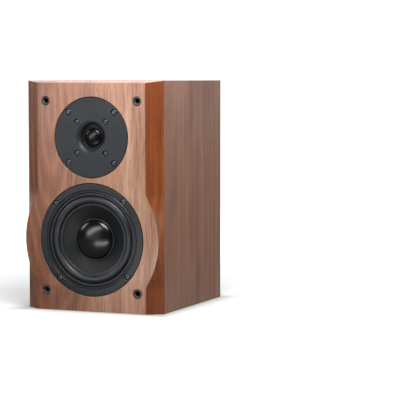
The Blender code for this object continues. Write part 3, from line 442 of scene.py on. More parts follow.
# ------------------------------------------------------------------ mesh helpers
def new_object(name: str, mesh: bmesh.types.BMesh, materials: Sequence[bpy.types.Material],
               angle: float = 35.0) -> bpy.types.Object:
    """Clean a bmesh and make it a smooth-shaded object.

    Args:
        name: The object's name.
        mesh: The geometry, which is freed.
        materials: The object's material slots.
        angle: Edges sharper than this many degrees stay sharp.

    Returns:
        The linked object.
    """
    bmesh.ops.remove_doubles(mesh, verts=mesh.verts, dist=0.000002)
    bmesh.ops.dissolve_degenerate(mesh, dist=0.000001, edges=mesh.edges)
    bmesh.ops.recalc_face_normals(mesh, faces=mesh.faces)
    data = bpy.data.meshes.new(name)
    mesh.to_mesh(data)
    mesh.free()
    for material in materials:
        data.materials.append(material)
    data.shade_smooth()
    data.set_sharp_from_angle(angle=math.radians(angle))
    obj = bpy.data.objects.new(name, data)
    bpy.context.scene.collection.objects.link(obj)
    return obj


def turn(profile: Sequence[Point], centre: Vector, steps: int, way: Axis = Axis.FRONT,
         closed: bool = True) -> bmesh.types.BMesh:
    """Spin a profile about an axis along Y.

    Args:
        profile: Points of radius and depth, depth running into the cabinet.
        centre: Where the axis meets the mounting plane.
        steps: Facets round the circle.
        way: Whether depth runs back from the front or forward from the rear.
        closed: Whether the last point joins the first.

    Returns:
        The turned shape.
    """
    shape = bmesh.new()
    verts = [shape.verts.new((r, way.value * d, 0.0)) for r, d in profile]
    pairs = list(zip(verts, verts[1:])) + ([(verts[-1], verts[0])] if closed else [])
    edges = [shape.edges.new(pair) for pair in pairs]
    bmesh.ops.spin(shape, geom=verts + edges, cent=(0, 0, 0), axis=(0, 1, 0), angle=2 * math.pi,
                   steps=steps, use_merge=True)
    bmesh.ops.translate(shape, vec=centre, verts=shape.verts)
    return shape


def arc(cx: float, cy: float, rx: float, ry: float, start: float, end: float, steps: int) -> list[Point]:
    """Points on an ellipse's arc, from start to end degrees."""
    points = []
    for k in range(steps + 1):
        a = math.radians(start + (end - start) * k / steps)
        points.append((cx + rx * math.cos(a), cy + ry * math.sin(a)))
    return points


def rounded_plate(width: float, height: float, corner: float, depth: float, centre: Vector,
                  segments: int = 6) -> tuple[bmesh.types.BMesh, bmesh.types.BMFace]:
    """A rounded rectangle facing +Y.

    Args:
        width: Size along X.
        height: Size along Z.
        corner: Corner radius.
        depth: How far it lies inside the rear plane.
        centre: Where its axis meets the rear plane.
        segments: Facets in each corner.

    Returns:
        The bmesh and its one face.
    """
    shape = bmesh.new()
    place = Matrix.Translation(centre - Vector((0, depth, 0))) @ Matrix.Rotation(math.radians(-90), 4, "X")
    bmesh.ops.create_grid(shape, x_segments=1, y_segments=1, size=0.5,
                          matrix=place @ Matrix.Diagonal((width, height, 1, 1)))
    bmesh.ops.bevel(shape, geom=list(shape.verts), offset=corner, segments=segments, profile=0.5,
                    affect="VERTICES", material=-1)
    shape.faces.ensure_lookup_table()
    return shape, shape.faces[0]


def carve(obj: bpy.types.Object, cutters: Iterable[bpy.types.Object]) -> bpy.types.Object:
    """Cut closed shapes out of an object, for good.

    Args:
        obj: The object to cut.
        cutters: The shapes, which are removed afterwards.

    Returns:
        The same object with its new mesh.
    """
    tools = list(cutters)
    for tool in tools:
        modifier = obj.modifiers.new("carve", "BOOLEAN")
        modifier.operation, modifier.solver, modifier.object = "DIFFERENCE", "EXACT", tool
        modifier.material_mode = "TRANSFER"
    graph = bpy.context.evaluated_depsgraph_get()
    cut = bpy.data.meshes.new_from_object(obj.evaluated_get(graph))
    obj.modifiers.clear()
    clean = bmesh.new()
    clean.from_mesh(cut)
    bmesh.ops.remove_doubles(clean, verts=clean.verts, dist=0.00001)
    bmesh.ops.dissolve_degenerate(clean, dist=0.00001, edges=clean.edges)
    clean.to_mesh(cut)
    clean.free()
    old, obj.data = obj.data, cut
    name = old.name
    bpy.data.meshes.remove(old)
    cut.name = name
    for tool in tools:
        data = tool.data
        bpy.data.objects.remove(tool)
        bpy.data.meshes.remove(data)
    return obj


def drop_lone_slots(obj: bpy.types.Object) -> None:
    """Remove material slots left empty by a cut."""
    for index in reversed(range(len(obj.data.materials))):
        if obj.data.materials[index] is None:
            obj.data.materials.pop(index=index)


def soften(shape: bmesh.types.BMesh, edges: Iterable[bmesh.types.BMEdge], width: float, segments: int = 2) -> None:
    """Round some edges of a bmesh."""
    bmesh.ops.bevel(shape, geom=list(edges), offset=width, offset_type="OFFSET", segments=segments, profile=0.5,
                    affect="EDGES", material=-1, clamp_overlap=True)


def even_out(obj: bpy.types.Object) -> None:
    """Shade by face area, so that eased edges stay round and the large faces stay flat."""
    modifier = obj.modifiers.new("even_out", "WEIGHTED_NORMAL")
    modifier.mode, modifier.weight, modifier.keep_sharp = "FACE_AREA", 100, True


def settle(obj: bpy.types.Object, body: str, slot: str, *nodes: str) -> bpy.types.Object:
    """Put a finished piece on its body, in place of its CAD nodes.

    Args:
        obj: The finished piece.
        body: The body it rides on.
        slot: The record's material slot; not used.
        *nodes: The CAD nodes it stands for.

    Returns:
        The same piece.
    """
    if nodes:
        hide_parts(*nodes)
    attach(obj, body)
    log.info("%s rides on %s, %d faces", obj.name, body, len(obj.data.polygons))
    return obj


def ring_places(radius: float, count: int = 4, start: float = 45.0) -> Iterator[tuple[int, Vector]]:
    """Yield a number and an offset in the front plane for each of count places on a circle."""
    for k in range(count):
        angle = math.radians(start + 360.0 * k / count)
        yield k + 1, Vector((radius * math.cos(angle), 0.0, radius * math.sin(angle)))


def roll_points(inner: float, outer: float, base: float, height: float, skin: float, lip_in: float,
                lip_out: float, steps: int) -> list[Point]:
    """A half roll between two flat lips, as the closed profile of an even skin."""
    middle, half = (inner + outer) / 2, (outer - inner) / 2
    top = [(lip_in, base)] + arc(middle, base, half, -height, 180, 0, steps) + [(lip_out, base)]
    under = [(lip_in, base + skin)] + arc(middle, base + skin, half - skin, -(height - 0.2 * skin), 180, 0, steps)
    return top + (under + [(lip_out, base + skin)])[::-1]


# ------------------------------------------------------------------ screws
@dataclass
class Screw:
    """A pan-head screw with a cross recess, its axis along Y."""

    head: float
    shank: float
    length: float
    thick: float = 0.0018
    way: Axis = Axis.FRONT

    def build(self, name: str, at: Vector, spin: float, finish: bpy.types.Material) -> bpy.types.Object:
        """Turn the head and shank and cut the cross.

        Args:
            name: The object's name.
            at: The head's top, on its axis.
            spin: How far the cross is turned, in degrees.
            finish: The screw's material.

        Returns:
            The finished screw.
        """
        crown = arc(self.head * 0.55, self.thick * 0.45, self.head * 0.45, -self.thick * 0.45, 90, 0, 6)
        profile = [(0.0, 0.0)] + crown + [(self.head, self.thick), (self.shank, self.thick)]
        pitch, turns = 0.0012, max(2, int((self.length - self.thick - 0.003) / 0.0012))
        for k in range(turns):
            start = self.thick + 0.0005 + k * pitch
            profile += [(self.shank - 0.0003, start), (self.shank, start + pitch / 2)]
        profile += [(self.shank - 0.0003, self.length - 0.0018), (0.0, self.length)]
        body = new_object(name, turn(profile, at, 24, self.way, closed=False), [finish])
        # the recess is a plus sign that tapers towards a point
        cross = bmesh.new()
        deep, wide, slot = self.thick * 0.75, self.head * 0.56, self.head * 0.13
        arms = [(slot, slot), (wide, slot), (wide, -slot), (slot, -slot)]
        outline = [Matrix.Rotation(math.radians(-90 * k), 2) @ Vector(p) for k in range(4) for p in arms[:-1]]
        mouth = cross.faces.new([cross.verts.new((p[0], -0.001 * self.way.value, p[1])) for p in outline])
        grown = bmesh.ops.extrude_face_region(cross, geom=[mouth], use_keep_orig=True)
        for vert in (g for g in grown["geom"] if isinstance(g, bmesh.types.BMVert)):
            vert.co = Vector((vert.co.x * 0.55, deep * self.way.value, vert.co.z * 0.55))
        bmesh.ops.rotate(cross, cent=(0, 0, 0), matrix=Matrix.Rotation(math.radians(spin), 3, "Y"), verts=cross.verts)
        bmesh.ops.translate(cross, vec=at, verts=cross.verts)
        carve(body, [new_object("cross", cross, [finish])])
        drop_lone_slots(body)
        return body


# ------------------------------------------------------------------ cabinet
@dataclass
class Cabinet:
    """The wrapped cabinet: chamfered baffle with rounded cheeks, folded wrap and back board."""

    finishes: Finishes
    chamfer_width: float = 0.020
    top_bevel: float = 0.00275
    bulge_margin: float = 0.002
    bulge_radius: float = 0.104
    wall: float = 0.012
    easing: float = 0.0005
    run_out: float = 0.0015
    cutters: list[bpy.types.Object] = field(default_factory=list)
    rear_cutters: list[bpy.types.Object] = field(default_factory=list)

    def __post_init__(self) -> None:
        """Read the cabinet's sizes from the CAD nodes."""
        low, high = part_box("front_baffle")
        self.low, self.high = low, high
        self.half = high.x
        self.front_y, self.baffle_back = low.y, high.y
        self.back_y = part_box("right_side_panel")[1].y
        self.height = high.z
        self.chamfer_depth = self.baffle_back - self.front_y - 0.005
        rim_low, rim_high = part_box("woofer_basket")
        self.woofer_z = (rim_low.z + rim_high.z) / 2
        self.half_front = self.half - self.chamfer_width

    def front_half(self, z: float) -> float:
        """Half-width of the flat front at a height: straight, with an arc beside the woofer."""
        widest = self.half - self.bulge_margin
        rise = max(0.0, self.bulge_radius ** 2 - (z - self.woofer_z) ** 2)
        arched = widest - self.bulge_radius + math.sqrt(rise)
        # the arc runs out into the straight edge with a small fillet
        return (self.half_front + arched + math.hypot(arched - self.half_front, self.run_out)) / 2

    def levels(self) -> list[Point]:
        """Heights of the baffle's sections and how far the top bevel sets each back, as pairs."""
        centre = self.half - self.bulge_margin - self.bulge_radius
        reach = math.sqrt(self.bulge_radius ** 2 - (self.half_front - centre) ** 2)
        steps, reach = 60, reach + 0.012
        curve = [(self.woofer_z - reach * math.cos(math.pi * k / steps), 0.0) for k in range(steps + 1)]
        foot, ease = self.height - self.top_bevel, self.easing
        length = math.hypot(self.top_bevel, self.chamfer_depth)
        up, back = ease * self.top_bevel / length, ease * self.chamfer_depth / length
        eased = [(foot - ease, 0.0), (foot - 0.25 * ease + 0.25 * up, 0.25 * back), (foot + up, back)]
        return curve + eased + [(self.height, self.chamfer_depth)]

    def section(self, z: float, inset: float) -> list[Vector]:
        """One section of the baffle, its four front corners eased by three points each.

        Args:
            z: The section's height.
            inset: How far the top bevel has set its front back.

        Returns:
            The section's points, all at that height.
        """
        share = inset / self.chamfer_depth
        outer = Vector((self.half, self.front_y + self.chamfer_depth, z))
        inner = Vector((self.front_half(z), self.front_y, z)).lerp(outer, share)
        ease = self.easing * (1 - share)
        rear, centre = Vector((self.half, self.baffle_back, z)), Vector((0.0, inner.y, z))
        side = [rear]
        for corner, before, after in ((outer, rear, inner), (inner, outer, centre)):
            start = corner + (before - corner).normalized() * ease
            end = corner + (after - corner).normalized() * ease
            side += [start, 0.25 * start + 0.5 * corner + 0.25 * end, end]
        return side + [Vector((-p.x, p.y, p.z)) for p in reversed(side)]

    def baffle(self) -> bpy.types.Object:
        """Draw the baffle up from its foot by extruding its section, then cut the driver seats."""
        f = self.finishes
        shape = bmesh.new()
        last = self.section(0.0, 0.0)
        foot = shape.faces.new([shape.verts.new(p) for p in last])
        cap = foot
        for z, inset in self.levels():
            cap, points = self.rise(shape, cap, keep=cap is foot), self.section(z, inset)
            for vert in cap.verts:
                vert.co = points[min(range(len(last)), key=lambda k: (vert.co - last[k]).length)]
            last = points
        bmesh.ops.remove_doubles(shape, verts=shape.verts, dist=0.000002)
        bmesh.ops.recalc_face_normals(shape, faces=shape.faces)
        for face in shape.faces:
            normal = face.normal
            if abs(normal.x) > 0.9 and abs(normal.y) < 0.02:
                face.material_index = 2
            elif normal.x > 0.12:
                face.material_index = 1
        board = new_object("baffle_wrapped", shape, [f.front, f.stripe, f.side, f.raw_board], 24)
        carve(board, self.cutters)
        drop_lone_slots(board)
        even_out(board)
        return settle(board, "cabinet", "walnut_vinyl", "front_baffle")

    @staticmethod
    def rise(shape: bmesh.types.BMesh, cap: bmesh.types.BMFace, keep: bool = False) -> bmesh.types.BMFace:
        """Extrude the section's last face and return the new one; keep leaves the old as the underside."""
        grown = bmesh.ops.extrude_face_region(shape, geom=[cap], use_keep_orig=keep)["geom"]
        if not keep:
            # the operator leaves the old face behind, which would be a wall inside the board
            bmesh.ops.delete(shape, geom=[cap], context="FACES_ONLY")
        return next(g for g in grown if isinstance(g, bmesh.types.BMFace))

    def shell(self) -> bpy.types.Object:
        """Fold the wrap round the cabinet: one tube with rounded corners and a 12 mm wall."""
        shape = bmesh.new()
        start, end = self.baffle_back + 0.00002, self.back_y
        place = Matrix.Translation(Vector((0, start, self.height / 2))) @ Matrix.Rotation(math.radians(90), 4, "X")
        bmesh.ops.create_grid(shape, x_segments=1, y_segments=1, size=0.5,
                              matrix=place @ Matrix.Diagonal((2 * self.half, self.height, 1, 1)))
        face = shape.faces[:][0]
        grown = bmesh.ops.extrude_face_region(shape, geom=[face], use_keep_orig=True)
        far = next(g for g in grown["geom"] if isinstance(g, bmesh.types.BMFace))
        bmesh.ops.translate(shape, vec=(0, end - start, 0), verts=far.verts)
        ends = [face, far]
        bmesh.ops.recalc_face_normals(shape, faces=shape.faces)
        bmesh.ops.inset_individual(shape, faces=ends, thickness=self.wall, depth=0.0, use_even_offset=True)
        loops = [e for cap in ends for e in cap.edges]
        bmesh.ops.delete(shape, geom=ends, context="FACES_ONLY")
        bmesh.ops.bridge_loops(shape, edges=loops)
        bmesh.ops.recalc_face_normals(shape, faces=shape.faces)
        folds = [e for e in shape.edges if any(v.co.y > end - 1e-6 for v in e.verts)
                 and all(abs(v.co.x) > self.half - 1e-5 for v in e.verts) | all(
                     not 1e-5 < v.co.z < self.height - 1e-5 for v in e.verts)]
        soften(shape, folds, self.easing)
        for piece in shape.faces:
            spot = piece.calc_center_median()
            if abs(spot.x) < self.half - 0.004 and 0.004 < spot.z < self.height - 0.004 and abs(piece.normal.y) < 0.5:
                piece.material_index = 2
            elif abs(piece.normal.z) > 0.7 or not self.wall < spot.z < self.height - self.wall:
                piece.material_index = 1
        shell = new_object("cabinet_wrap", shape, [self.finishes.side, self.finishes.top, self.finishes.raw_board], 40)
        even_out(shell)
        return settle(shell, "cabinet", "walnut_vinyl", "left_side_panel", "right_side_panel", "top_panel",
                      "bottom_panel")

    def back_board(self) -> bpy.types.Object:
        """Cut the back board to its rebate and bore it for the port and the terminals."""
        low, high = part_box("back_panel")
        shape = bmesh.new()
        size, middle = high - low, (high + low) / 2
        bmesh.ops.create_cube(shape, size=1.0, matrix=Matrix.Translation(middle) @ Matrix.Diagonal((*size, 1)))
        soften(shape, [e for e in shape.edges if all(v.co.y > middle.y for v in e.verts)], self.easing)
        board = new_object("back_board", shape, [self.finishes.side, self.finishes.raw_board], 24)
        carve(board, self.rear_cutters)
        drop_lone_slots(board)
        even_out(board)
        return settle(board, "cabinet", "walnut_vinyl", "back_panel")


# ------------------------------------------------------------------ woofer
@dataclass
class Woofer:
    """The cone driver: pressed frame, trim ring, rubber roll, paper cone and lacquered cap."""

    finishes: Finishes
    body: str = "woofer_cone_assembly"
    rim_width: float = 0.0097
    basket_wall: float = 0.0020
    turned: float = 48.0
    steps: int = 144
    screw: Screw = field(default_factory=lambda: Screw(0.0034, 0.0015, 0.0155))

    def __post_init__(self) -> None:
        """Read the driver's sizes from its CAD nodes."""
        low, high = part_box("woofer_basket")
        self.radius = (high.x - low.x) / 2
        self.rim_front = low.y
        self.front_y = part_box("front_baffle")[0].y
        self.centre = Vector((0.0, self.front_y, (low.z + high.z) / 2))
        self.rim0 = low.y - self.front_y
        self.rim1 = self.rim0 + 0.0042
        self.depth = high.y - self.front_y
        self.wall_in = self.radius - self.rim_width - self.basket_wall
        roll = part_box("woofer_surround")
        self.lip_out = (roll[1].x - roll[0].x) / 2
        self.skin = 0.0011
        self.lip_y = self.rim1 + 0.0001
        self.roll_out = self.lip_out - 0.0040
        self.roll_in = self.roll_out - 0.0100
        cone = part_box("woofer_cone")
        self.edge_r = (cone[1].x - cone[0].x) / 2
        self.edge_y = cone[0].y - self.front_y
        self.cone_depth = cone[1].y - cone[0].y - self.skin
        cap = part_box("woofer_dust_cap")
        self.cap_r = (cap[1].x - cap[0].x) / 2
        self.cap_tip, self.cap_y = cap[0].y - self.front_y, cap[1].y - self.front_y
        self.neck_r = 0.0134

    def seat_cutter(self) -> bpy.types.Object:
        """The stepped hole that the baffle needs for this driver."""
        gap = 0.00045
        profile = [(0.0, -0.003), (self.radius + gap + 0.0004, -0.003), (self.radius + gap + 0.0004, 0.0),
                   (self.radius + gap, 0.0004), (self.radius + gap, self.rim1 + 0.0003),
                   (self.wall_in + self.basket_wall + 0.0003, self.rim1 + 0.0003),
                   (self.wall_in + self.basket_wall + 0.0003, 0.030), (0.0, 0.030)]
        return new_object("woofer_seat", turn(profile, self.centre, self.steps, closed=False),
                          [self.finishes.raw_board])

    def frame(self) -> bpy.types.Object:
        """Turn the pressed frame and pierce its windows and screw seats."""
        r, wall_out = self.radius, self.wall_in + self.basket_wall
        ledge = self.lip_y + self.skin + 0.0003
        spider = (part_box("woofer_spider")[1].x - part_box("woofer_spider")[0].x) / 2
        spider_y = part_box("woofer_spider")[1].y - self.front_y
        bowl = spider + 0.0040
        profile = [(self.wall_in, self.rim0 + 0.0010), (self.wall_in + 0.0004, self.rim0 + 0.0004)]
        # a shallow bead runs round the inside of the rim, and the outside edge is rolled
        profile += [(wall_out - 0.0004, self.rim0 + 0.0004), (wall_out + 0.0004, self.rim0 + 0.0010),
                    (wall_out + 0.0010, self.rim0 + 0.0010), (wall_out + 0.0017, self.rim0)]
        profile += arc(r - 0.0010, self.rim0 + 0.0010, 0.0010, 0.0010, -90, 0, 5)
        profile += [(r, self.rim1), (wall_out, self.rim1), (wall_out, ledge + 0.0030),
                    (bowl, spider_y + 0.0023), (spider - 0.0028, spider_y + 0.0023), (spider - 0.0028, self.depth),
                    (0.0201, self.depth), (0.0201, self.depth - 0.0022), (spider - 0.0048, self.depth - 0.0022),
                    (spider - 0.0048, spider_y + 0.0003), (bowl - self.basket_wall, spider_y + 0.0003),
                    (self.roll_out - 0.0005, ledge + 0.0018), (self.roll_out - 0.0005, ledge),
                    (self.wall_in, ledge)]
        frame_obj = new_object("woofer_frame", turn(profile, self.centre, self.steps), [self.finishes.frame_enamel])
        carve(frame_obj, list(self.windows(ledge + 0.0075, spider_y - 0.0045, spider)) + list(self.screw_seats()))
        drop_lone_slots(frame_obj)
        even_out(frame_obj)
        return settle(frame_obj, "cabinet", "black_frame", "woofer_basket")

    def windows(self, low: float, high: float, spider: float) -> Iterator[bpy.types.Object]:
        """Yield the six window cutters of the basket."""
        for k in range(6):
            shape = bmesh.new()
            middle, deep = (low + high) / 2, high - low
            bmesh.ops.create_cube(shape, size=1.0, matrix=Matrix.Translation((0, middle, (spider + self.radius) / 2))
                                  @ Matrix.Diagonal((0.030, deep, 0.034, 1)))
            soften(shape, [e for e in shape.edges if abs((e.verts[0].co - e.verts[1].co).z) > 0.02], 0.003, 3)
            bmesh.ops.rotate(shape, cent=(0, 0, 0), matrix=Matrix.Rotation(math.radians(60 * k + 30), 3, "Y"),
                             verts=shape.verts)
            bmesh.ops.translate(shape, vec=self.centre, verts=shape.verts)
            yield new_object(f"window_{k}", shape, [self.finishes.frame_enamel])

    def screw_seats(self) -> Iterator[bpy.types.Object]:
        """Yield the countersinks in the rim."""
        head, deep = self.screw.head + 0.0008, self.rim0 + 0.0003 + self.screw.thick + 0.0003
        for k, offset in ring_places(self.radius - 0.0048, start=self.turned):
            profile = [(0.0, -0.002), (head + 0.0004, -0.002), (head + 0.0004, self.rim0), (head, self.rim0 + 0.0004),
                       (head, deep), (self.screw.shank + 0.0005, deep), (self.screw.shank + 0.0005, 0.008),
                       (0.0, 0.008)]
            yield new_object(f"rim_seat_{k}", turn(profile, self.centre + offset, 32, closed=False),
                             [self.finishes.frame_enamel])

    def trim(self) -> bpy.types.Object:
        """Turn the trim ring and press fine radial ribs into its face."""
        inner, outer = self.roll_out + 0.0004, self.wall_in - 0.0003
        top = self.rim0 + 0.0009
        profile = [(inner, top + 0.0016)] + arc(inner + 0.0010, top + 0.0014, 0.0010, 0.0008, 180, 270, 4) \
            + [(outer - 0.0004, top + 0.0006), (outer, top + 0.0010), (outer, self.lip_y - 0.0003),
               (inner, self.lip_y - 0.0003)]
        shape = turn(profile, self.centre, 2 * self.steps)
        for vert in shape.verts:
            offset = vert.co - self.centre
            if offset.y < top + 0.0012:
                angle = math.atan2(offset.z, offset.x) % (2 * math.pi)
                if round(angle / (math.pi / self.steps)) % 2:
                    vert.co.y += 0.00022
        ring = new_object("woofer_trim_ring", shape, [self.finishes.trim_rubber], 60)
        return settle(ring, "cabinet", "black_rubber", "woofer_gasket")

    def surround(self) -> bpy.types.Object:
        """Mould the half roll between the cone's edge and the frame."""
        profile = roll_points(self.roll_in, self.roll_out, self.lip_y, 0.0042, self.skin * 0.8,
                              self.roll_in - 0.0022, self.lip_out, 20)
        obj = new_object("woofer_roll", turn(profile, self.centre, self.steps), [self.finishes.surround_rubber], 50)
        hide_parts("woofer_surround")
        bend(obj, self.body, self.centre, self.roll_in, self.roll_out)
        return obj

    def cone(self) -> bpy.types.Object:
        """Press the cone: a rolled edge, a slightly curved wall and the neck."""
        front, rear = [], []
        lip = self.edge_r
        for k in range(25):
            s = k / 24
            r = lip + (self.neck_r + self.skin - lip) * s
            d = self.edge_y + self.skin + self.cone_depth * s ** 1.4
            rear.append((r, d))
            front.append((r - self.skin * (0.45 + 0.55 * s), d - self.skin))
        # a raised ring where the roll is glued down
        front[0] = (lip - self.skin, self.edge_y)
        profile = [(lip, self.edge_y)] + rear + front[::-1]
        obj = new_object("woofer_cone_pressed", turn(profile, self.centre, self.steps), [self.finishes.cone_paper], 50)
        settle(obj, self.body, "black_cone", "woofer_cone")
        ring_r = self.roll_in - 0.0022
        ring = new_object("woofer_cone_edge", turn(arc(ring_r - 0.0001, self.lip_y + 0.0009, 0.0008, 0.0008, 0, 337.5,
                                                       15), self.centre, self.steps), [self.finishes.cap_bead], 60)
        settle(ring, self.body, "black_cone")
        return obj

    def cap(self) -> bpy.types.Object:
        """Form the domed cap and lay its glue bead."""
        rise, thick = self.cap_y - self.cap_tip, 0.0007
        outer = arc(0.0, self.cap_y, self.cap_r, -rise, 90, 0, 22)
        inner = arc(0.0, self.cap_y, self.cap_r - thick, -(rise - thick), 0, 90, 22)
        outer[0], inner[-1] = (0.0, self.cap_tip), (0.0, self.cap_tip + thick)
        obj = new_object("woofer_cap_domed", turn(outer + inner, self.centre, self.steps, closed=False),
                         [self.finishes.cap_gloss], 50)
        settle(obj, self.body, "gloss_cap", "woofer_dust_cap")
        bead = new_object("woofer_cap_bead", turn(arc(self.cap_r + 0.0003, self.cap_y + 0.0003, 0.0008, 0.0008, 0, 330,
                                                      11), self.centre, self.steps), [self.finishes.cap_bead], 60)
        return settle(bead, self.body, "gloss_cap")

    def screws(self) -> None:
        """Drive the four frame screws, each with its cross at its own angle."""
        for k, offset in ring_places(self.radius - 0.0048, start=self.turned):
            at = self.centre + offset + Vector((0, self.rim0 + 0.0003, 0))
            obj = self.screw.build(f"woofer_frame_screw_{k}", at, 17.0 + 31.0 * k, self.finishes.screw_black)
            settle(obj, "cabinet", "black_screw", f"woofer_screw_{k}")

    def build(self) -> None:
        """Build the whole driver."""
        self.frame()
        self.trim()
        self.surround()
        self.cone()
        self.cap()
        self.screws()


def bend(obj: bpy.types.Object, body: str, centre: Vector, inner: float, outer: float) -> None:
    """Bake a roll's transform and work out how far each point would follow the moving body, without storing it.

    Args:
        obj: The roll.
        body: The moving body.
        centre: The driver's centre.
        inner: Radius at which the share reaches one.
        outer: Radius at which the share falls to zero.
    """
    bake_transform(obj)
    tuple(centre)
    for vert in obj.data.vertices:
        offset = vert.co - centre
        share = (outer - math.hypot(offset.x, offset.z)) / (outer - inner)
        share = min(1.0, max(0.0, share))
    log.info("%s follows %s at its inner lip", obj.name, body)


# ------------------------------------------------------------------ tweeter
@dataclass
class Tweeter:
    """The dome driver: sparked faceplate with a flared mouth, silk dome and eight screws."""

    finishes: Finishes
    body: str = "tweeter_dome_assembly"
    mouth: float = 0.0225
    throat: float = 0.0160
    screw_circle: float = 0.0460
    inner_circle: float = 0.0287
    steps: int = 144
    outer_screw: Screw = field(default_factory=lambda: Screw(0.0034, 0.0015, 0.0155))
    inner_screw: Screw = field(default_factory=lambda: Screw(0.0030, 0.0015, 0.0117))

    def __post_init__(self) -> None:
        """Read the driver's sizes from its CAD nodes."""
        low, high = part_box("tweeter_faceplate")
        self.radius = (high.x - low.x) / 2
        self.front_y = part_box("front_baffle")[0].y
        self.centre = Vector((0.0, self.front_y, (low.z + high.z) / 2))
        self.face0, self.boss = low.y - self.front_y, high.y - self.front_y
        self.face1 = self.face0 + 0.0037
        self.boss_r = 0.0340
        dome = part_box("tweeter_dome")
        self.dome_r = (dome[1].x - dome[0].x) / 2
        self.dome_tip, self.dome_y = dome[0].y - self.front_y, dome[1].y - self.front_y

    def seat_cutter(self) -> bpy.types.Object:
        """The stepped hole that the baffle needs for this driver."""
        gap, body = 0.00045, 0.0373
        profile = [(0.0, -0.003), (self.radius + gap + 0.0004, -0.003), (self.radius + gap + 0.0004, 0.0),
                   (self.radius + gap, 0.0004), (self.radius + gap, self.face1 + 0.0003),
                   (body, self.face1 + 0.0003), (body, 0.030), (0.0, 0.030)]
        return new_object("tweeter_seat", turn(profile, self.centre, self.steps, closed=False),
                          [self.finishes.raw_board])

    def plate(self) -> bpy.types.Object:
        """Turn the faceplate: a flat face, a raised lip and the flared mouth."""
        deep = self.boss - self.face0
        flare = arc(self.mouth, self.boss, self.mouth - self.throat, -deep, 90, 180, 16)
        flare[0] = (self.mouth + 0.0003, self.face0)
        profile = arc(self.radius - 0.0009, self.face0 + 0.0009, 0.0009, 0.0009, -90, 0, 5)
        profile += [(self.radius, self.face1), (self.boss_r, self.face1), (self.boss_r, self.boss)]
        profile += flare[::-1]
        obj = new_object("tweeter_plate", turn(profile, self.centre, self.steps), [self.finishes.plate_abs], 30)
        carve(obj, list(self.seats()))
        drop_lone_slots(obj)
        even_out(obj)
        return settle(obj, "cabinet", "black_plastic", "tweeter_faceplate")

    def seats(self) -> Iterator[bpy.types.Object]:
        """Yield the counterbores of both rings of screws."""
        for label, circle, screw in (("outer", self.screw_circle, self.outer_screw),
                                     ("inner", self.inner_circle, self.inner_screw)):
            head = screw.head + 0.0007
            floor = self.face0 + 0.0003 + screw.thick + 0.0003
            end = 0.0060 if label == "outer" else 0.0090
            for k, offset in ring_places(circle):
                profile = [(0.0, -0.002), (head + 0.0003, -0.002), (head + 0.0003, self.face0),
                           (head, self.face0 + 0.0003), (head, floor), (screw.shank + 0.0005, floor),
                           (screw.shank + 0.0005, end), (0.0, end)]
                yield new_object(f"{label}_seat_{k}", turn(profile, self.centre + offset, 32, closed=False),
                                 [self.finishes.plate_abs])

    def dome(self) -> bpy.types.Object:
        """Form the silk dome."""
        rise, thick = self.dome_y - self.dome_tip, 0.0005
        outer = arc(0.0, self.dome_y, self.dome_r, -rise, 90, 0, 20)
        inner = arc(0.0, self.dome_y, self.dome_r - thick, -(rise - thick), 0, 90, 20)
        outer[0], inner[-1] = (0.0, self.dome_tip), (0.0, self.dome_tip + thick)
        obj = new_object("tweeter_silk_dome", turn(outer + inner, self.centre, 96, closed=False),
                         [self.finishes.silk], 50)
        return settle(obj, self.body, "silk_dome", "tweeter_dome")

    def surround(self) -> bpy.types.Object:
        """Mould the small roll round the dome."""
        inner, outer = self.dome_r + 0.0007, self.throat - 0.0009
        profile = roll_points(inner, outer, self.dome_y, 0.0013, 0.0004, self.dome_r + 0.0002,
                              self.throat + 0.0030, 12)
        obj = new_object("tweeter_roll", turn(profile, self.centre, 96), [self.finishes.dome_rubber], 50)
        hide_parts("tweeter_surround")
        bend(obj, self.body, self.centre, inner, outer)
        return obj

    def screws(self) -> None:
        """Drive both rings of screws."""
        lift = Vector((0, self.face0 + 0.0003, 0))
        for k, offset in ring_places(self.screw_circle):
            obj = self.outer_screw.build(f"tweeter_mount_screw_{k}", self.centre + offset + lift, 8.0 + 23.0 * k,
                                         self.finishes.screw_black)
            settle(obj, "cabinet", "black_screw", f"tweeter_screw_{k}")
        for k, offset in ring_places(self.inner_circle):
            obj = self.inner_screw.build(f"tweeter_plate_screw_{k}", self.centre + offset + lift, 40.0 - 19.0 * k,
                                         self.finishes.screw_black)
            settle(obj, "cabinet", "black_screw", f"faceplate_screw_{k}")

    def build(self) -> None:
        """Build the whole driver."""
        self.plate()
        self.dome()
        self.surround()
        self.screws()


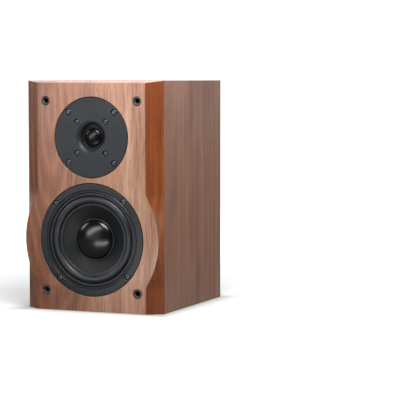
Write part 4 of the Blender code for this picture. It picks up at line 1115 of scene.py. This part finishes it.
# ------------------------------------------------------------------ grille sockets
@dataclass
class GrilleSockets:
    """The four rubber sockets that take the grille's pegs."""

    finishes: Finishes
    bore: float = 0.0032
    rim: float = 0.0060
    count: int = 4

    def centre(self, k: int) -> Vector:
        """Where socket k meets the front plane."""
        low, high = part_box(f"grille_socket_{k}")
        return Vector(((low.x + high.x) / 2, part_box("front_baffle")[0].y, (low.z + high.z) / 2))

    def cutters(self) -> Iterator[bpy.types.Object]:
        """Yield the holes that the baffle needs."""
        for k in range(1, self.count + 1):
            profile = [(0.0, -0.003), (self.rim + 0.0003, -0.003), (self.rim + 0.0003, 0.0013),
                       (0.0049, 0.0013), (0.0049, 0.0143), (0.0, 0.0143)]
            yield new_object(f"socket_hole_{k}", turn(profile, self.centre(k), 48, closed=False),
                             [self.finishes.raw_board])

    def build(self) -> None:
        """Turn each socket: a rounded rim, a tapered mouth and a blind bore."""
        for k in range(1, self.count + 1):
            profile = [(0.0, 0.0120), (self.bore, 0.0120), (self.bore, 0.0016), (self.bore + 0.0006, 0.0006)]
            profile += arc((self.bore + self.rim) / 2 + 0.0002, 0.0006, (self.rim - self.bore) / 2 - 0.0006, 0.0005,
                           180, 360, 8)
            profile += [(self.rim, 0.0008), (self.rim, 0.0010), (0.0046, 0.0010), (0.0046, 0.0140), (0.0, 0.0140)]
            obj = new_object(f"socket_{k}", turn(profile, self.centre(k), 48, closed=False),
                             [self.finishes.socket_rubber], 50)
            settle(obj, "cabinet", "grey_socket", f"grille_socket_{k}")


# ------------------------------------------------------------------ rear
@dataclass
class Rear:
    """The back of the cabinet: flared port, terminal dish and two binding posts."""

    finishes: Finishes
    screw: Screw = field(default_factory=lambda: Screw(0.0028, 0.0012, 0.0095, way=Axis.REAR))

    def __post_init__(self) -> None:
        """Read the places from the CAD nodes."""
        self.back_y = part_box("right_side_panel")[1].y
        port_low, port_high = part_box("port_tube")
        self.port = Vector((0.0, self.back_y, (port_low.z + port_high.z) / 2))
        self.port_end = self.back_y - port_low.y
        cup_low, cup_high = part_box("terminal_cup")
        self.cup = Vector((0.0, self.back_y, (cup_low.z + cup_high.z) / 2))
        self.plate_w, self.plate_h = cup_high.x - cup_low.x, cup_high.z - cup_low.z
        self.cup_end = self.back_y - cup_low.y

    def cutters(self) -> Iterator[bpy.types.Object]:
        """Yield the holes that the back board needs."""
        profile = [(0.0, -0.003), (0.0314, -0.003), (0.0314, 0.0033), (0.0248, 0.0033), (0.0248, 0.020), (0.0, 0.020)]
        yield new_object("port_hole", turn(profile, self.port, 96, Axis.REAR, closed=False),
                         [self.finishes.raw_board])
        for name, width, height, deep in (("dish_rebate", self.plate_w + 0.0007, self.plate_h + 0.0007, 0.0033),
                                          ("dish_hole", 0.0577, 0.0397, 0.020)):
            shape, face = rounded_plate(width, height, 0.006, -0.003, self.cup)
            grown = bmesh.ops.extrude_face_region(shape, geom=[face], use_keep_orig=True)
            verts = [g for g in grown["geom"] if isinstance(g, bmesh.types.BMVert)]
            bmesh.ops.translate(shape, vec=(0, -deep - 0.003, 0), verts=verts)
            yield new_object(name, shape, [self.finishes.raw_board])

    def port_tube(self) -> None:
        """Turn the port: a wide flare, a stepped flange and the tube."""
        bore, wall, flange = 0.0220, 0.0025, 0.0310
        profile = arc(bore + 0.0058, 0.0060, 0.0058, 0.0057, 180, 270, 12)
        profile = [(bore, self.port_end)] + profile
        profile += [(flange - 0.0022, 0.0003)] + arc(flange - 0.0012, 0.0015, 0.0012, 0.0012, -90, 0, 5)
        profile += [(flange, 0.0030), (bore + wall, 0.0030), (bore + wall, self.port_end)]
        obj = new_object("port_flare", turn(profile, self.port, 120, Axis.REAR), [self.finishes.black_abs], 40)
        settle(obj, "cabinet", "black_plastic", "port_tube")

    def dish(self) -> None:
        """Mould the terminal dish: flat plate, rounded pocket and a hollow back."""
        pocket_w, pocket_h, wall, floor = 0.0520, 0.0340, 0.0025, 0.0185
        shape, face = rounded_plate(self.plate_w, self.plate_h, 0.006, 0.0030, self.cup)
        grown = bmesh.ops.extrude_face_region(shape, geom=[face], use_keep_orig=True)
        front = next(g for g in grown["geom"] if isinstance(g, bmesh.types.BMFace))
        bmesh.ops.translate(shape, vec=(0, 0.0027, 0), verts=front.verts)
        bmesh.ops.recalc_face_normals(shape, faces=shape.faces)
        soften(shape, front.edges, 0.0006)
        obj = new_object("terminal_dish", shape, [self.finishes.black_abs], 30)
        # a boss carries the pocket behind the plate
        boss, base = rounded_plate(pocket_w + 2 * wall, pocket_h + 2 * wall, 0.0065, 0.0020, self.cup)
        grown = bmesh.ops.extrude_face_region(boss, geom=[base], use_keep_orig=True)
        bmesh.ops.translate(boss, vec=(0, -(self.cup_end - 0.0020), 0),
                            verts=[g for g in grown["geom"] if isinstance(g, bmesh.types.BMVert)])
        lump = new_object("dish_boss", boss, [self.finishes.black_abs])
        modifier = obj.modifiers.new("join", "BOOLEAN")
        modifier.operation, modifier.solver, modifier.object = "UNION", "EXACT", lump
        graph = bpy.context.evaluated_depsgraph_get()
        joined = bpy.data.meshes.new_from_object(obj.evaluated_get(graph))
        obj.modifiers.clear()
        obj.data = joined
        bpy.data.objects.remove(lump)
        hollow, mouth = rounded_plate(pocket_w, pocket_h, 0.005, -0.002, self.cup)
        grown = bmesh.ops.extrude_face_region(hollow, geom=[mouth], use_keep_orig=True)
        verts = [g for g in grown["geom"] if isinstance(g, bmesh.types.BMVert)]
        bmesh.ops.translate(hollow, vec=(0, -(floor + 0.002), 0), verts=verts)
        bmesh.ops.recalc_face_normals(hollow, faces=hollow.faces)
        deep = [e for e in hollow.edges if all(v.co.y < self.back_y - floor + 1e-5 for v in e.verts)]
        soften(hollow, deep, 0.002, 3)
        cutters = [new_object("dish_pocket", hollow, [self.finishes.black_abs])]
        for k, (x, z) in enumerate(self.screw_places(), 1):
            deepest = 0.0003 + 0.0003 + self.screw.thick + 0.0003
            profile = [(0.0, -0.002), (0.0034, -0.002), (0.0034, 0.0003), (0.0032, 0.0006), (0.0032, deepest),
                       (0.0017, deepest), (0.0017, 0.006), (0.0, 0.006)]
            cutters.append(new_object(f"dish_seat_{k}", turn(profile, self.cup + Vector((x, 0, z)), 24, Axis.REAR,
                                                             closed=False), [self.finishes.black_abs]))
        carve(obj, cutters)
        drop_lone_slots(obj)
        obj.data.shade_smooth()
        obj.data.set_sharp_from_angle(angle=math.radians(30))
        even_out(obj)
        settle(obj, "cabinet", "black_plastic", "terminal_cup")
        for k, (x, z) in enumerate(self.screw_places(), 1):
            at = self.cup + Vector((x, -0.0006, z))
            piece = self.screw.build(f"dish_screw_{k}", at, 12.0 + 37.0 * k, self.finishes.screw_black)
            settle(piece, "cabinet", "black_screw", f"cup_screw_{k}")

    def screw_places(self) -> list[Point]:
        """The dish's screws, in the order of their CAD nodes."""
        x, z = self.plate_w / 2 - 0.007, self.plate_h / 2 - 0.007
        return [(-x, z), (x, z), (x, -z), (-x, -z)]

    def post(self, side: Side) -> None:
        """Build one binding post: threaded stud, colour ring, clamp washer and knurled cap.

        Args:
            side: Which of the two posts.
        """
        name = side.value
        low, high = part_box(f"post_stud_{name}")
        at = Vector(((low.x + high.x) / 2, self.back_y, (low.z + high.z) / 2))
        tip, tail = self.back_y - high.y, self.back_y - low.y
        radius, collar = 0.0026, 0.0058
        floor, step = 0.0182, 0.0035
        profile = [(0.0, tip), (radius - 0.0006, tip), (radius - 0.0002, tip + 0.0005)]
        pitch = 0.0008
        count = int((floor - step - tip - 0.0012) / pitch)
        for k in range(count):
            start = tip + 0.0006 + k * pitch
            profile += [(radius - 0.00035, start), (radius, start + pitch / 2)]
        profile += [(radius - 0.0003, floor - step), (collar - 0.0004, floor - step), (collar, floor - step + 0.0004),
                    (collar, floor), (radius, floor), (radius, tail), (0.0, tail)]
        stud = new_object(f"post_thread_{name}", turn(profile, at, 48, Axis.REAR, closed=False),
                          [self.finishes.brass])
        settle(stud, "cabinet", "gilt_brass", f"post_stud_{name}")
        mark = self.finishes.mark_red if side is Side.RED else self.finishes.black_cap
        ring = new_object(f"post_mark_{name}", turn([(0.0060, 0.0180), (0.0074, 0.0180), (0.0076, 0.0184),
                                                     (0.0060, 0.0184)], at, 64, Axis.REAR), [mark])
        settle(ring, "cabinet", f"{name}_cap")
        wash_low, wash_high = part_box(f"post_washer_{name}")
        y0, y1 = self.back_y - wash_high.y, self.back_y - wash_low.y
        washer = new_object(f"post_clamp_{name}", turn([(0.0029, y0), (0.0054, y0), (0.0056, y0 + 0.0002),
                                                        (0.0056, y1 - 0.0002), (0.0054, y1), (0.0029, y1)], at, 48,
                                                       Axis.REAR), [self.finishes.zinc])
        settle(washer, f"{name}_clamp", "zinc_steel", f"post_washer_{name}")
        self.cap(side, at)

    def cap(self, side: Side, at: Vector) -> None:
        """Mould a knurled cap with a socket in its end.

        Args:
            side: Which of the two posts.
            at: Where the post's axis meets the rear plane.
        """
        name = side.value
        low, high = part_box(f"post_cap_{name}")
        y0, y1 = self.back_y - high.y, self.back_y - low.y
        outer, bore, plug, ridges = 0.0061, 0.0031, 0.0021, 24
        end = y0 + 0.0008
        profile = [(plug, y0 + 0.0002), (plug + 0.0003, y0), (outer - 0.0016, y0)]
        profile += arc(outer - 0.0012, y0 + 0.0012, 0.0012, 0.0012, -90, 0, 4)
        profile += [(outer, y0 + 0.0020), (outer, y1 - 0.0024), (outer - 0.0003, y1 - 0.0020),
                    (outer - 0.0003, y1 - 0.0004), (outer - 0.0007, y1), (bore, y1), (bore, end), (plug, end)]
        shape = turn(profile, at, ridges * 6, Axis.REAR)
        band = (y0 + 0.0018, y1 - 0.0022)
        for vert in shape.verts:
            offset = vert.co - at
            radius = math.hypot(offset.x, offset.z)
            if radius > outer - 0.0001 and band[0] < -offset.y < band[1]:
                wave = math.cos(ridges * math.atan2(offset.z, offset.x))
                scale = (radius - 0.00035 * (0.5 - 0.5 * wave)) / radius
                vert.co.x, vert.co.z = at.x + offset.x * scale, at.z + offset.z * scale
        finish = self.finishes.red_cap if side is Side.RED else self.finishes.black_cap
        obj = new_object(f"post_knob_{name}", shape, [finish], 50)
        settle(obj, f"{name}_cap", f"{name}_cap", f"post_cap_{name}")

    def build(self) -> None:
        """Build everything on the back."""
        self.port_tube()
        self.dish()
        for side in Side:
            self.post(side)


# ------------------------------------------------------------------ inside
class Inside:
    """The pieces inside the cabinet keep their CAD shapes and get their finishes."""

    def __init__(self, finishes: Finishes) -> None:
        """Pair each kept node with its finish."""
        self.dress: dict[str, bpy.types.Material] = {
            "window_brace": finishes.raw_board, "damping_wadding": finishes.wadding,
            "woofer_voice_coil": finishes.copper, "woofer_spider": finishes.spider,
            "woofer_top_plate": finishes.zinc, "woofer_magnet": finishes.ferrite, "woofer_yoke": finishes.zinc,
            "tweeter_voice_coil": finishes.copper, "tweeter_top_plate": finishes.zinc,
            "tweeter_magnet": finishes.ferrite, "tweeter_yoke": finishes.zinc,
            "crossover_board": finishes.board_green, "inductor_woofer": finishes.copper,
            "inductor_tweeter": finishes.copper, "capacitor_woofer": finishes.film,
            "capacitor_tweeter": finishes.film, "woofer_lead": finishes.sleeve, "tweeter_lead": finishes.sleeve,
        }

    def build(self) -> None:
        """Give each kept node its finish."""
        for name, finish in self.dress.items():
            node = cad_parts[name]
            node.data.materials.clear()
            node.data.materials.append(finish)
            log.info("%s keeps its CAD shape", name)


# ------------------------------------------------------------------ studio
@dataclass
class Studio:
    """A white floor, three soft lamps, four panels that show only in the glosses, and the camera."""

    azimuth: float = 25.044
    distance: float = 2.328
    height: float = 0.3055
    aim: float = -2.482
    pitch: float = 4.120
    lens: float = 156.5
    front_fill: float = 0.07
    back_fill: float = 0.85
    floor_glow: float = 0.86

    def camera(self) -> None:
        """Place a long-lens camera a little right of the front and just above the top."""
        data = bpy.data.cameras.new("studio_camera")
        data.lens, data.sensor_width, data.clip_end = self.lens, 36.0, 50.0
        obj = bpy.data.objects.new("studio_camera", data)
        bpy.context.scene.collection.objects.link(obj)
        around = math.radians(self.azimuth)
        obj.location = (self.distance * math.sin(around), -self.distance * math.cos(around), self.height)
        obj.rotation_euler = (math.radians(90 - self.pitch), 0.0, math.radians(self.azimuth + self.aim))
        bpy.context.scene.camera = obj

    def floor(self) -> None:
        """Lay a matt white floor, with a painted glow and a painted shadow round the cabinet."""
        shape = bmesh.new()
        bmesh.ops.create_circle(shape, cap_ends=True, segments=96, radius=9.0)
        s = Surface("matt_white_floor")
        # painted light: seen by the camera the sheet glows, dimmer near the cabinet and white in the distance, and
        # other rays see a dim grey, so it hardly lights the speaker
        seen = s.add("LightPath").outputs["Is Camera Ray"]
        x, y, _ = s.add("SeparateXYZ", Vector=s.place()).outputs
        away = s.add("VectorMath", {"operation": "LENGTH"}, i0=s.place()).outputs["Value"]
        glow = s.add("Math", {"operation": "MULTIPLY"}, i0=seen, i1=s.span(away, 0.2, 0.75, 0.30, self.floor_glow))
        # painted shadow: for the camera the sheet's colour is painted darker round the cabinet's footprint, where the
        # cabinet keeps the light off it
        gaps = []
        for value, half in ((x, CAD_BOX[1].x), (y, CAD_BOX[1].y)):
            size = s.add("Math", {"operation": "ABSOLUTE"}, i0=value).outputs[0]
            gaps.append(s.add("Math", {"operation": "SUBTRACT"}, i0=size, i1=half).outputs[0])
        near = s.add("Math", {"operation": "MAXIMUM"}, i0=gaps[0], i1=gaps[1]).outputs[0]
        shade = s.ramp(s.span(near, 0.0, 0.060), ((0.0, "#7c7c7c"), (0.25, "#bcbcbc"), (0.6, "#dcdcdc"),
                                                 (1.0, "#dcdcdc")))
        dim = s.add("RGB")
        dim.outputs[0].default_value = linear("#7a7a7a")
        s.link(Base_Color=s.mix(seen, dim.outputs[0], shade), Roughness=0.9, Specular_IOR_Level=0.1,
               Emission_Color=(1, 1, 1, 1), Emission_Strength=glow.outputs[0])
        obj = new_object("studio_floor", shape, [s.material])
        obj.data.polygons.foreach_set("use_smooth", [False] * len(obj.data.polygons))

    def lamp(self, name: str, at: tuple[float, float, float], target: tuple[float, float, float],
             size: tuple[float, float], power: float, gloss_only: bool = False, roll: float = 0.0) -> None:
        """Hang a rectangular lamp.

        Args:
            name: The lamp's name.
            at: Its middle.
            target: The point it faces.
            size: Its width and height.
            power: Its power in watts.
            gloss_only: Whether it only shows in reflections.
            roll: Turn about its own axis, in degrees.
        """
        data = bpy.data.lights.new(name, "AREA")
        data.shape, data.energy = "RECTANGLE", power
        data.size, data.size_y = size
        obj = bpy.data.objects.new(name, data)
        bpy.context.scene.collection.objects.link(obj)
        way = (Vector(target) - Vector(at)).to_track_quat("-Z", "Y")
        obj.matrix_world = Matrix.Translation(at) @ way.to_matrix().to_4x4() @ Matrix.Rotation(
            math.radians(roll), 4, "Z")
        obj.visible_camera = False
        if gloss_only:
            obj.visible_diffuse = False

    def light(self) -> None:
        """Light the set."""
        world = bpy.data.worlds.new("white_room")
        world.use_nodes = True
        tree = world.node_tree
        tree.nodes.clear()
        out = tree.nodes.new("ShaderNodeOutputWorld")
        seen, room = tree.nodes.new("ShaderNodeBackground"), tree.nodes.new("ShaderNodeBackground")
        seen.inputs["Strength"].default_value = 1.05
        seen.inputs["Color"].default_value = (1, 1, 1, 1)
        # the room is dim behind the camera and white behind the speaker
        way, split = tree.nodes.new("ShaderNodeTexCoord"), tree.nodes.new("ShaderNodeSeparateXYZ")
        tree.links.new(way.outputs["Generated"], split.inputs[0])
        grow = tree.nodes.new("ShaderNodeMapRange")
        for socket, value in zip(grow.inputs[1:5], (-0.25, 0.55, self.front_fill, self.back_fill)):
            socket.default_value = value
        tree.links.new(split.outputs["Y"], grow.inputs[0])
        tree.links.new(grow.outputs[0], room.inputs["Strength"])
        room.inputs["Color"].default_value = (0.95, 0.975, 1.0, 1)
        path, mix = tree.nodes.new("ShaderNodeLightPath"), tree.nodes.new("ShaderNodeMixShader")
        tree.links.new(path.outputs["Is Camera Ray"], mix.inputs[0])
        tree.links.new(room.outputs[0], mix.inputs[1])
        tree.links.new(seen.outputs[0], mix.inputs[2])
        tree.links.new(mix.outputs[0], out.inputs["Surface"])
        bpy.context.scene.world = world
        self.lamp("key_softbox", (0.24, -0.36, 0.68), (0.0, -0.10, 0.24), (0.42, 0.30), 6.2)
        self.lamp("left_softbox", (-1.15, -0.45, 0.75), (-0.09, -0.1, 0.20), (0.5, 0.5), 4.2)
        self.lamp("side_softbox", (1.3, 0.25, 0.75), (0.08, 0.0, 0.15), (0.6, 0.6), 5.0)
        self.lamp("left_panel", (-0.35, -0.95, 0.30), (0.0, -0.1, 0.20), (0.55, 0.55), 0.5, True)
        self.lamp("diagonal_strip", (-0.24, -0.80, 0.38), (0.0, -0.10, 0.10), (0.13, 0.70), 2.0, True, -52.0)
        self.lamp("rear_panel", (-0.84, 1.54, 1.0), (0.0, -0.1, 0.29), (1.2, 1.2), 3.6, True)
        self.lamp("low_strip", (0.035, -0.345, 0.028), (0.0, -0.10, 0.088), (0.25, 0.042), 0.20, True)

    def build(self) -> None:
        """Set up the studio."""
        self.camera()
        self.floor()
        self.light()
        bpy.context.scene.view_settings.view_transform = "Standard"


def main() -> None:
    """Build the loudspeaker and the studio round it."""
    logging.basicConfig(level=logging.INFO, format="%(name)s: %(message)s")
    Studio().build()
    woofer_low, woofer_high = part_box("woofer_basket")
    tweeter_low, tweeter_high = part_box("tweeter_faceplate")
    finishes = Finishes((woofer_low.z + woofer_high.z) / 2, (tweeter_low.z + tweeter_high.z) / 2)
    woofer, tweeter = Woofer(finishes), Tweeter(finishes)
    sockets, rear = GrilleSockets(finishes), Rear(finishes)
    cabinet = Cabinet(finishes)
    cabinet.cutters = [woofer.seat_cutter(), tweeter.seat_cutter(), *sockets.cutters()]
    cabinet.rear_cutters = list(rear.cutters())
    cabinet.baffle()
    cabinet.shell()
    cabinet.back_board()
    for part in (woofer, tweeter, sockets, rear, Inside(finishes)):
        part.build()


if __name__ == "__main__":
    main()
